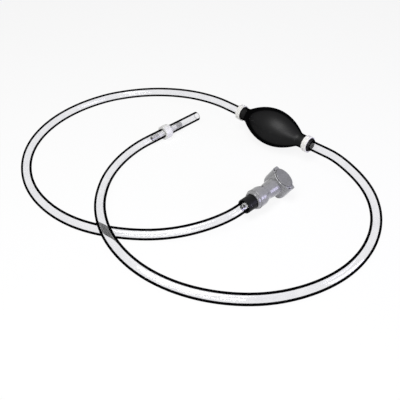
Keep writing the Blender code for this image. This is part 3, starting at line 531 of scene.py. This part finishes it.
# Bulb: a lemon-shaped body that runs out into two plain necks, turned round X
bulb = {"body": 0.0840, "reach": 0.56, "hollow": 0.49, "neck": 0.0174, "middle": -0.0025, "fillet": 0.0008,
        "wall": 0.0032, "socket": 0.0133, "plug": 0.0120, "socketAt": 0.0424, "noseTip": 0.0148,
        "nose": 0.0022, "edge": 0.0006, "rings": 90, "steps": 96}
bulbLow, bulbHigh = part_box("bulb")
bulbSpot = Vector((bulb["middle"], 0.0, (bulbLow.z + bulbHigh.z) / 2))
toRight = Matrix.Rotation(math.radians(90.0), 4, "Y")
toLeft = Matrix.Rotation(math.radians(-90.0), 4, "Y")
toBack = Matrix.Rotation(math.radians(-90.0), 4, "X")


def bulbSwell(h):
    return (bulbHigh.z - bulbLow.z - bulb["neck"]) / 2 * (1.0 - (2.0 * h / bulb["body"]) ** 2)


def makeBulb():
    neck, fillet, socket = bulb["neck"] / 2, bulb["fillet"], bulb["socket"] / 2
    right, left = bulbHigh.x - bulbSpot.x, bulbLow.x - bulbSpot.x
    nose = softened([(socket, right), (bulb["noseTip"] / 2, right), (neck, right - bulb["nose"]),
                     (neck, right - 3 * bulb["nose"])], bulb["edge"], False)
    tail = softened([(neck, left + 4 * bulb["edge"]), (neck, left), (socket, left)], bulb["edge"], False)
    reach, hollow = bulb["reach"] * bulb["body"], bulb["hollow"] * bulb["body"]
    heights = np.linspace(reach, -reach, bulb["rings"])
    # The swell eases into the necks through a small fillet
    body = [(neck + fillet * math.log1p(math.exp(bulbSwell(h) / fillet)), h) for h in heights]
    inside = [(socket, -bulb["socketAt"]), (bulb["plug"] / 2, -bulb["socketAt"])]
    # The wall is as thick square to its slope everywhere
    for h in np.linspace(-hollow, hollow, bulb["rings"] // 3):
        lean = math.hypot(1.0, 8.0 * bulbSwell(0.0) * h / bulb["body"] ** 2)
        inside.append((max(bulb["plug"] / 2, neck + bulbSwell(h) - bulb["wall"] * lean), h))
    inside += [(bulb["plug"] / 2, bulb["socketAt"]), (socket, bulb["socketAt"])]
    mesh = turnedMesh("bulb_moulding", nose + body + tail + inside, evenAngles(bulb["steps"]),
                      place=Matrix.Translation(bulbSpot) @ toRight)
    smoothShade(mesh)
    addPiece("bulb_moulding", mesh, [blackRubber], replaced=("bulb",))


makeBulb()
print("bulb made")

# Neck clamps: a band whose toothed ends snap over each other, with a shallow channel round its back
clamp = {"band": 0.0012, "tongue": 0.0007, "hook": 0.0009, "split": 0.00035, "tooth": 0.0003, "teeth": 5,
         "jawDeg": 36.0, "clear": 0.0003, "edge": 0.00025, "channel": 0.0024, "channelDeep": 0.0005,
         "boreSteps": 90, "backSteps": 84, "hookSteps": 12, "inletDeg": 2.0, "outletDeg": 178.0}


def clampOutline():
    inner = bulb["neck"] / 2 + clamp["clear"]
    hook = inner + clamp["tongue"] + clamp["split"]
    half = clamp["jawDeg"] / 2
    gap = math.degrees(clamp["split"] / inner)
    steps = 2 * clamp["teeth"]

    def toothed(radius, start, end):
        reach = [radius + (clamp["tooth"] if i % 2 else 0.0) for i in range(steps + 1)]
        return [(x * r / radius, y * r / radius) for r, (x, y) in zip(reach, arc(radius, start, end, steps))]

    outline = arc(inner, -half, 360.0 - half - gap, clamp["boreSteps"]) + toothed(hook, -half - gap, half)
    outline += arc(hook + clamp["tooth"] + clamp["hook"], half, -half - gap, clamp["hookSteps"])
    room = 3.0 * gap  # between the band's back and the jaws
    outline += arc(inner + clamp["band"], 360.0 - half - room, half + room, clamp["backSteps"])
    return outline + toothed(inner + clamp["tongue"], half, -half)


def makeClamp(node, turn, jawDeg):
    low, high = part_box(node)
    mesh = plateMesh(node + "_band", [clampOutline()], high.x - low.x, clamp["edge"])
    floor = bulb["neck"] / 2 + clamp["clear"] + clamp["band"] - clamp["channelDeep"]
    outside = floor * 1.3  # clear of the band
    start, end, steps = clamp["jawDeg"], 360.0 - clamp["jawDeg"], clamp["backSteps"]
    groove = arc(floor, start, end, steps) + arc(outside, end, start, steps)
    mesh = cut(mesh, [plateMesh("channel", [groove], clamp["channel"])], "DIFFERENCE")
    spot = Vector(((low.x + high.x) / 2, 0.0, bulbSpot.z))
    mesh.transform(Matrix.Translation(spot) @ turn @ Matrix.Rotation(math.radians(jawDeg), 4, "Z"))
    smoothShade(mesh)
    addPiece(node + "_band", mesh, [whiteNylon], replaced=(node,))


makeClamp("inlet_neck_clamp", toRight, clamp["inletDeg"])
makeClamp("outlet_neck_clamp", toLeft, clamp["outletDeg"])
print("clamps made")

# Barbed union: a flange tapered on the tail's side, with two ridges on each barb
union = {"flange": 0.0188, "flangeLength": 0.0125, "noseWide": 0.0140, "taper": 0.0030, "root": 0.0066,
         "crest": 0.0089, "shank": 0.0095, "bore": 0.0050, "pitch": 0.0050, "ridges": 2, "edge": 0.0004,
         "barbEdge": 0.00015, "steps": 72}


# Outer side of a hose barb from its tip: each ridge rises away from the tip, then drops
def barbOutline(tip, base, ridges):
    way = 1.0 if base > tip else -1.0
    outline = []
    for ridge in range(ridges):
        start = tip + way * ridge * union["pitch"]
        outline += [(union["root"] / 2, start), (union["crest"] / 2, start + way * union["pitch"])]
    return outline + [(union["root"] / 2, tip + way * ridges * union["pitch"]), (union["root"] / 2, base)]


# The faces within the bore of a piece that lies along Y take the material with this number, a near black one
# as painted shade
def markBore(mesh, spot, number):
    reach = union["bore"] / 2 + union["barbEdge"] / 2
    for face in mesh.polygons:
        if math.hypot(face.center.x - spot.x, face.center.z - spot.z) < reach:
            face.material_index = number


def makeUnion():
    half = (unionHigh.y - unionLow.y - union["flangeLength"]) / 2
    long, wide = union["flangeLength"], union["flange"] / 2
    root, nose = union["root"] / 2, union["noseWide"] / 2
    flange = softened([(root, long), (nose, long), (wide, long - union["taper"]), (wide, 0.0), (root, 0.0)],
                      union["edge"], False)
    near = softened(barbOutline(long + half, long, union["ridges"]), union["barbEdge"], False, 2)
    far = softened(barbOutline(-half, 0.0, union["ridges"]), union["barbEdge"], False, 2)
    bore = [(union["bore"] / 2, -half), (union["bore"] / 2, long + half)]
    spot = Vector((unionMiddle.x, unionLow.y + half, unionMiddle.z))
    mesh = turnedMesh("union_moulding", near[:-1] + flange + far[-2::-1] + bore, evenAngles(union["steps"]),
                      place=Matrix.Translation(spot) @ toBack)
    # Beyond the shanks the ridges, inside the hose, take the greyer copy of the material: painted shade
    for face in mesh.polygons:
        past = abs(face.center.y - spot.y - long / 2) - long / 2
        face.material_index = 1 if past > union["shank"] else 0
    # Painted shade: the union's bore gets the near black polypropylene
    markBore(mesh, spot, 2)
    smoothShade(mesh)
    return addPiece("union_moulding", mesh, [naturalPlastic, ridgeShadePlastic, boreShadePlastic],
                    replaced=("barbed_union",))


unionPiece = makeUnion()
print("union made")

# Coupling: sleeve, hose stem, body with an oval well for the pad, and thumb latch. Lengths along it are
# measured from the sleeve's open end
sleeve = {"gap": 0.0004, "edge": 0.0009, "steps": 72}
stem = {"tip": 0.0006, "flangeAt": 0.0216, "flangeLong": 0.0024, "nose": 0.0118, "noseLong": 0.0030,
        "ridges": 3, "edge": 0.0002, "steps": 72}
body = {"long": 0.0710, "from": 0.0140, "skirt": 0.0230, "skirtEdge": 0.0206, "skirtLong": 0.0125,
        "skirtTaper": 0.0060, "waist": 0.0186, "waistAt": 0.0360, "collar": 0.0206, "collarAt": 0.0475,
        "mouth": 0.0184, "mouthEdge": 0.0005, "headAt": 0.0609, "headBack": 0.0068, "headAhead": 0.0045,
        "headWide": 0.0322, "headTop": 0.0122, "headLow": 0.0126, "corner": 0.0055, "frontCorner": 0.0015,
        "foot": 0.0075, "wellWall": 0.00085, "wellTop": 0.0130, "wellEdge": 0.0003, "beadAt": 0.0040,
        "bead": 0.0007, "beadSteps": 12, "cornerSteps": 16, "frontSteps": 6, "melt": 0.0005, "meltRounds": 6,
        "steps": 96, "sharpDeg": 40.0}
bore = {"socket": 0.0130, "socketLong": 0.0180, "lead": 0.0008, "sealAt": 0.0047, "groove": 0.0160,
        "grooveWide": 0.0022, "throat": 0.0088, "throatLong": 0.0017, "chamber": 0.0124, "shoulder": 0.0243,
        "recess": 0.0176}
latch = {"rollDeg": 30.5, "long": 0.0166, "wide": 0.0240, "thick": 0.0024, "top": 0.0139, "back": 0.0005,
         "gap": 0.00035, "travel": 0.0020, "trim": 0.0002, "dish": 0.0005, "dishEnd": 1.6, "dishRise": 0.7,
         "dishSteps": 12, "rim": 0.0011, "rimShape": [(1.0, 0.04), (0.6, 0.0), (0.25, 0.25), (0.0, 1.0)],
         "plate": 0.0021, "plateWide": 0.0206, "plateLow": 0.0084, "plateAhead": 0.0006, "hole": 0.0138,
         "holeUp": 0.0016, "holeSteps": 72, "footSteps": 40, "edge": 0.0002, "steps": 96, "sharpDeg": 40.0}
ears = {"slitLong": 0.0026, "slitWide": 0.0013, "slitDeep": 0.0030, "slitBack": 0.0033, "slitSide": 0.0134,
        "wellBack": 0.0034, "wellSide": 0.0088, "wellLow": 0.0056, "wellRadius": 0.0024, "wellSteps": 32}
couplingSpot = Vector((couplingMiddle.x, sleeveLow.y, couplingMiddle.z))
couplingPlace = Matrix.Translation(couplingSpot) @ toBack
roll = math.radians(latch["rollDeg"])
latchTurn = Matrix(((0.0, -math.cos(roll), math.sin(roll), 0.0), (1.0, 0.0, 0.0, 0.0),
                    (0.0, math.sin(roll), math.cos(roll), 0.0), (0.0, 0.0, 0.0, 1.0)))
latchPlace = Matrix.Translation(couplingSpot + yWay * body["headAt"]) @ latchTurn
standing = Matrix(((0.0, 0.0, 1.0, 0.0), (1.0, 0.0, 0.0, 0.0), (0.0, 1.0, 0.0, 0.0), (0.0, 0.0, 0.0, 1.0)))


def makeSleeve():
    outer, inner = (sleeveHigh.x - sleeveLow.x) / 2, hose["outer"] / 2 + sleeve["gap"]
    long = sleeveHigh.y - sleeveLow.y
    outline = softened([(inner, 0.0), (outer, 0.0), (outer, long), (inner, long)], sleeve["edge"])
    mesh = turnedMesh("sleeve_moulding", outline, evenAngles(sleeve["steps"]), place=couplingPlace)
    smoothShade(mesh)
    return addPiece("sleeve_moulding", mesh, [blackNylon],
                    replaced=("coupling_hose_sleeve",))


# The hose stem inside the sleeve, whose open tip is seen through the hose
def makeStem():
    outer, nose = (sleeveHigh.x - sleeveLow.x) / 2, stem["nose"] / 2
    top = stem["flangeAt"] + stem["flangeLong"]
    end = top + stem["noseLong"]
    outline = [(nose, end), (nose, top), (outer, top), (outer, stem["flangeAt"])]
    outline += barbOutline(stem["tip"], stem["flangeAt"], stem["ridges"])[::-1]
    hole = union["bore"] / 2
    outline = softened(outline + [(hole, stem["tip"]), (hole, end)], stem["edge"], steps=2)
    mesh = turnedMesh("stem_moulding", outline, evenAngles(stem["steps"]), place=couplingPlace)
    # Painted shade: the stem's bore gets the near black polypropylene
    markBore(mesh, couplingSpot, 1)
    smoothShade(mesh)
    return addPiece("stem_moulding", mesh, [naturalPlastic, boreShadePlastic],
                    replaced=("coupling_hose_barb",))


# A smooth blend between two radii along the coupling
def flow(fromRadius, fromHeight, toRadius, toHeight, count=20):
    made = []
    for i in range(count + 1):
        share = (1.0 - math.cos(math.pi * i / count)) / 2
        radius = fromRadius + (toRadius - fromRadius) * share
        made.append((radius, fromHeight + (toHeight - fromHeight) * i / count))
    return made


def bodyOutline():
    skirt, waist, collar, mouth = (body[part] / 2 for part in ("skirt", "waist", "collar", "mouth"))
    start, end, edge = body["from"], body["long"], body["mouthEdge"]
    outline = [(0.0, end), (mouth - edge, end), (mouth, end - edge)]
    outline += [(mouth, body["headAt"]), (collar, body["headAt"] - (collar - mouth))]
    outline += flow(collar, body["collarAt"], waist, body["waistAt"])
    outline += flow(waist, body["waistAt"], skirt, start + body["skirtLong"])[1:]
    return outline + [(skirt, start + body["skirtTaper"]), (body["skirtEdge"] / 2, start), (0.0, start)]


def boreOutline():
    socket, groove, throat, chamber, recess = (
        bore[part] / 2 for part in ("socket", "groove", "throat", "chamber", "recess"))
    start, end, past = body["from"], body["long"], bore["lead"]
    floor = end - bore["socketLong"]
    seal, half = floor + bore["sealAt"], bore["grooveWide"] / 2
    throatEnd = floor - bore["throatLong"]
    outline = [(0.0, end + past), (socket + 2 * past, end + past), (socket, end - past)]
    outline += [(socket, seal + half), (groove, seal + half), (groove, seal - half), (socket, seal - half)]
    outline += [(socket, floor), (throat, floor), (throat, throatEnd)]
    outline += [(chamber, throatEnd - (bore["chamber"] - bore["throat"]) / 2)]
    outline += [(chamber, bore["shoulder"]), (recess, bore["shoulder"])]
    return outline + [(recess, start - past), (0.0, start - past)]


# The pad's oval as a turned outline of (share of its size, height), grown by a margin
def ovalMesh(name, outline, margin):
    mesh = turnedMesh(name, outline, evenAngles(latch["steps"]), closed=False)
    size = Matrix.Diagonal((latch["long"] / 2 + margin, latch["wide"] / 2 + margin, 1.0, 1.0))
    mesh.transform(latchPlace @ Matrix.Translation((-latch["back"], 0.0, 0.0)) @ size)
    return mesh


def plateOutline(wide, foot, top):
    bottom = arc(wide / 2, 360.0, 180.0, latch["footSteps"], (0.0, wide / 2 - foot))
    return [(wide / 2, top)] + bottom + [(-wide / 2, top)]


# The head is its end view, pushed along the coupling and trimmed to its plan
def headMesh():
    wide, foot, corner, tight = body["headWide"] / 2, body["foot"], body["corner"], body["frontCorner"]
    side, steps, few = wide - foot, body["cornerSteps"], body["frontSteps"]
    end = [(wide, body["headTop"]), (-wide, body["headTop"])]
    end += arc(foot, 180.0, 270.0, steps, (-side, foot - body["headLow"]))
    end += arc(foot, 270.0, 360.0, steps, (side, foot - body["headLow"]))
    block = plateMesh("head", [end], 4 * body["headBack"])
    block.transform(latchPlace @ standing)
    rear, front = (corner - body["headBack"], wide - corner), (body["headAhead"] - tight, wide - tight)
    plan = arc(tight, -90.0, 0.0, few, (front[0], -front[1])) + arc(tight, 0.0, 90.0, few, front)
    plan += arc(corner, 90.0, 180.0, steps, rear) + arc(corner, 180.0, 270.0, steps, (rear[0], -rear[1]))
    planMesh = plateMesh("plan", [plan], 4 * body["headLow"])
    planMesh.transform(latchPlace)
    return cut(block, [planMesh], "INTERSECT")


def boxMesh(size, spot):
    work = bmesh.new()
    place = latchPlace @ Matrix.Translation(spot) @ Matrix.Diagonal((*size, 1.0))
    bmesh.ops.create_cube(work, size=1.0, matrix=place)
    return meshFrom(work, "box")


# The body's outer form is melted together so that its corners flow like a moulding's, then cut sharp
def makeBody():
    form = turnedMesh("body", bodyOutline(), evenAngles(body["steps"]), closed=False, place=couplingPlace)
    piece = helperObject("body", cut(form, [headMesh()], "UNION"))
    melt = piece.modifiers.new("melt", "REMESH")
    melt.mode = "VOXEL"
    melt.voxel_size = body["melt"]
    ease = piece.modifiers.new("ease", "SMOOTH")
    ease.iterations = body["meltRounds"]
    top, edge = body["wellTop"], body["wellEdge"]
    lip = 1.0 - edge / (latch["long"] / 2)
    well = ovalMesh("well", [(0.0, 0.0), (1.0, 0.0), (1.0, top - edge), (lip, top), (0.0, top)],
                    latch["gap"] + body["wellWall"])
    # A fine bead round the skirt catches the light
    flare = (body["skirt"] - body["skirtEdge"]) / 2 * body["beadAt"] / body["skirtTaper"]
    beadSpot = (body["skirtEdge"] / 2 + flare, body["from"] + body["beadAt"])
    bead = turnedMesh("bead", circle(body["bead"], body["beadSteps"], beadSpot), evenAngles(body["steps"]),
                      place=couplingPlace)
    form = cut(applied(piece), [well, bead], "UNION")
    above = 2 * top
    hollow = turnedMesh("bore", boreOutline(), evenAngles(body["steps"]), closed=False, place=couplingPlace)
    floor = latch["top"] - latch["thick"] - latch["travel"] - latch["gap"]
    pocket = ovalMesh("pocket", [(0.0, floor), (1.0, floor), (1.0, above), (0.0, above)], latch["gap"])
    foot = latch["plateLow"] + latch["travel"] + latch["gap"]
    slot = plateMesh("slot", [plateOutline(latch["plateWide"] + 2 * latch["gap"], foot, above)],
                     latch["plate"] + 2 * latch["gap"])
    slot.transform(latchPlace @ Matrix.Translation((latch["plateAhead"], 0.0, 0.0)) @ standing)
    tools = [hollow, pocket, slot]
    deep, radius = ears["wellLow"], ears["wellRadius"]
    springWell = [(0.0, deep), (radius, deep), (radius, above), (0.0, above)]
    for side in (-1.0, 1.0):
        spot = Matrix.Translation((-ears["wellBack"], side * ears["wellSide"], 0.0))
        tools.append(turnedMesh("spring_well", springWell, evenAngles(ears["wellSteps"]), closed=False,
                                place=latchPlace @ spot))
        tools.append(boxMesh((ears["slitLong"], ears["slitWide"], 2 * ears["slitDeep"]),
                             (-ears["slitBack"], side * ears["slitSide"], body["headTop"])))
    mesh = cut(form, tools, "DIFFERENCE")
    smoothShade(mesh, body["sharpDeg"])
    return addPiece("coupling_body", mesh, [greyAcetal], replaced=("coupling_housing",))


# Thumb pad with a dished top and a raised rim, moulded onto the plate that locks the plug
def makeLatch():
    low, top, dish = latch["top"] - latch["thick"], latch["top"], latch["dish"]
    rim, steps = 2 * latch["rim"] / latch["wide"], latch["dishSteps"]
    outline = []
    for i in range(steps + 1):
        drop = 1.0 - (i / steps) ** 3 * latch["dishRise"]
        outline.append(((1.0 - latch["dishEnd"] * rim) * i / steps, top - dish * drop))
    # Over the rim, as shares of its width and of the dish's depth, then down the side
    outline += [(1.0 - inward * rim, top - down * dish) for inward, down in latch["rimShape"]]
    pad = ovalMesh("pad", outline + [(1.0, low), (0.0, low)], -latch["trim"])
    hole = circle(latch["hole"] / 2, latch["holeSteps"], (0.0, latch["holeUp"]))
    shape = plateOutline(latch["plateWide"], latch["plateLow"], low + latch["thick"] / 2)
    plate = plateMesh("plate", [shape, hole], latch["plate"], latch["edge"])
    plate.transform(latchPlace @ Matrix.Translation((latch["plateAhead"], 0.0, 0.0)) @ standing)
    mesh = cut(pad, [plate], "UNION")
    smoothShade(mesh, latch["sharpDeg"])
    return addPiece("thumb_latch_moulding", mesh, [shadedLatchAcetal], "latch", ("thumb_latch",))


sleevePiece = makeSleeve()
stemPiece = makeStem()
bodyPiece = makeBody()
latchPiece = makeLatch()
print("coupling made")

# Springs: wound wire with a closed turn at each end
spring = {"shutTurns": 0.75, "shutPitch": 1.05, "turnSteps": 28, "sides": 10, "sharpDeg": 50.0}
springSizes = {
    "inlet_valve_spring": {"joint": "inlet_ball_lift", "wire": 0.0006, "wide": 0.0050, "turns": 4},
    "outlet_valve_spring": {"joint": "outlet_ball_lift", "wire": 0.0006, "wide": 0.0050, "turns": 4},
    "latch_spring_near": {"joint": "latch_press", "wire": 0.0006, "wide": 0.0036, "turns": 3},
    "latch_spring_far": {"joint": "latch_press", "wire": 0.0006, "wide": 0.0036, "turns": 3},
    "poppet_spring": {"joint": "poppet_lift", "wire": 0.0008, "wide": 0.0092, "turns": 6},
}


# Centres of the first and last turn of wire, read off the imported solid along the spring's axis
def springEnds(name, way, wire):
    side = way.orthogonal().normalized()
    spots = [v.co for v in nodes[name].data.vertices]
    middle = Vector((0.0, 0.0, 0.0))
    for line in (side, way.cross(side)):
        reach = [spot.dot(line) for spot in spots]
        middle += line * (min(reach) + max(reach)) / 2
    reach = [spot.dot(way) for spot in spots]
    return middle + way * (min(reach) + wire / 2), middle + way * (max(reach) - wire / 2)


def springMesh(name, size, foot, tip):
    way = (tip - foot).normalized()
    side = way.orthogonal().normalized()
    shut, turns, shutRise = spring["shutTurns"], size["turns"], size["wire"] * spring["shutPitch"]
    openRise = ((tip - foot).length - 2 * shut * shutRise) / turns
    count = round((turns + 2 * shut) * spring["turnSteps"])
    work = bmesh.new()
    rings = []
    for i in range(count + 1):
        turn = (turns + 2 * shut) * i / count
        opened = min(max(turn - shut, 0.0), turns)
        out = side * math.cos(2.0 * math.pi * turn) + way.cross(side) * math.sin(2.0 * math.pi * turn)
        centre = foot + way * (opened * openRise + (turn - opened) * shutRise) + out * size["wide"] / 2
        rings.append([work.verts.new(centre + (out * math.cos(a) + way * math.sin(a)) * size["wire"] / 2)
                      for a in evenAngles(spring["sides"])])
    for low, high in zip(rings, rings[1:]):
        for i in range(spring["sides"]):
            work.faces.new((low[i - 1], low[i], high[i], high[i - 1]))
    work.faces.new(rings[0])
    work.faces.new(rings[-1])
    bmesh.ops.recalc_face_normals(work, faces=work.faces)
    mesh = meshFrom(work, name)
    smoothShade(mesh, spring["sharpDeg"])
    return mesh


for name, size in springSizes.items():
    joint = next(j for j in frame["joints"] if j["name"] == size["joint"])
    way = -Vector(joint["axis"]).normalized()
    foot, tip = springEnds(name, way, size["wire"])
    mesh = springMesh(name + "_coil", size, foot, tip)
    piece = addPiece(name + "_coil", mesh, [brightSteel], replaced=(name,))
    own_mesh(piece)
print("springs made")

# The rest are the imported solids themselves
packedLooks = {
    "inlet_valve_body": blackNylon, "outlet_valve_body": blackNylon, "inlet_valve_ball": brightSteel,
    "outlet_valve_ball": brightSteel, "inlet_spring_retainer": whiteNylon, "outlet_seat_ring": whiteNylon,
    "shutoff_poppet": whiteNylon, "poppet_seal": blackRubber, "socket_seal": blackRubber,
}
for name, material in packedLooks.items():
    dress(nodes[name], material)
print("packed pieces dressed")

# Stage: a white floor that keeps a faint shadow, soft lamps and an even sky
stage = {"floor": "#fafafa", "floorHalf": 6.0, "floorDrop": 0.0002, "shadow": 0.12, "sky": "#ffffff",
         "skyLevel": 0.08}


# 1 where the stage is seen, straight on or in gloss and glass, and 0 where it only gives light
def seenShare(tree):
    rays = addNode(tree, "ShaderNodeLightPath").outputs
    share = rays["Is Camera Ray"]
    for ray in ("Is Glossy Ray", "Is Transmission Ray"):
        share = addNode(tree, "ShaderNodeMath", {0: share, 1: rays[ray]}, operation="MAXIMUM").outputs[0]
    return share


def makeFloor():
    material, tree = newMaterial("white paper sweep")
    share = addNode(tree, "ShaderNodeMath", {0: seenShare(tree), 1: 1.0 - stage["shadow"]},
                    operation="MULTIPLY").outputs[0]
    paper = addNode(tree, "ShaderNodeBsdfDiffuse", {"Color": linear(stage["floor"])}).outputs[0]
    white = addNode(tree, "ShaderNodeEmission", {"Color": linear(stage["sky"]), "Strength": 1.0}).outputs[0]
    mixed = addNode(tree, "ShaderNodeMixShader", {"Fac": share, 1: paper, 2: white}).outputs[0]
    addNode(tree, "ShaderNodeOutputMaterial", {"Surface": mixed})
    return material


work = bmesh.new()
bmesh.ops.create_grid(work, x_segments=1, y_segments=1, size=stage["floorHalf"])
floor = helperObject("floor", meshFrom(work, "floor"))
floor.location.z = -stage["floorDrop"]
dress(floor, makeFloor())

world = bpy.data.worlds.new("studio")
scene.world = world
world.use_nodes = True
tree = world.node_tree
tree.nodes.clear()
sky = addNode(tree, "ShaderNodeBackground", {"Color": linear(stage["sky"]), "Strength": stage["skyLevel"]})
white = addNode(tree, "ShaderNodeBackground", {"Color": linear(stage["sky"]), "Strength": 1.0})
mixed = addNode(tree, "ShaderNodeMixShader", {"Fac": seenShare(tree), 1: sky.outputs[0], 2: white.outputs[0]})
addNode(tree, "ShaderNodeOutputWorld", {"Surface": mixed.outputs[0]})

# An oblong key lamp, a small near one, a cool one from the side and a weak one overhead
lamps = {
    "keyLamp": {"spot": (0.05, -0.42, 0.82), "aim": (0.0, -0.02, 0.02), "wide": 0.36, "long": 0.72,
                "watts": 5.7, "tint": "#ffffff"},
    "nearLamp": {"spot": (0.47, -0.62, 0.49), "aim": (0.03, -0.06, 0.02), "wide": 0.18, "long": 0.18,
                 "watts": 1.6, "tint": "#ffffff"},
    "sideLamp": {"spot": (0.76, 0.22, 0.20), "aim": (0.07, -0.11, 0.02), "wide": 0.42, "long": 0.42,
                 "watts": 3.2, "tint": "#dcd6ff"},
    "topLamp": {"spot": (-0.02, -0.06, 1.10), "aim": (0.0, -0.10, 0.0), "wide": 0.60, "long": 0.60,
                "watts": 0.6, "tint": "#ffffff"},
}
for name, lamp in lamps.items():
    data = bpy.data.lights.new(name, "AREA")
    data.shape = "RECTANGLE"
    data.size = lamp["wide"]
    data.size_y = lamp["long"]
    data.energy = lamp["watts"]
    data.color = linear(lamp["tint"])[:3]
    light = bpy.data.objects.new(name, data)
    light.location = lamp["spot"]
    light.rotation_euler = (Vector(lamp["aim"]) - Vector(lamp["spot"])).to_track_quat("-Z", "Y").to_euler()
    scene.collection.objects.link(light)
scene.view_settings.view_transform = "Standard"
print("stage set")
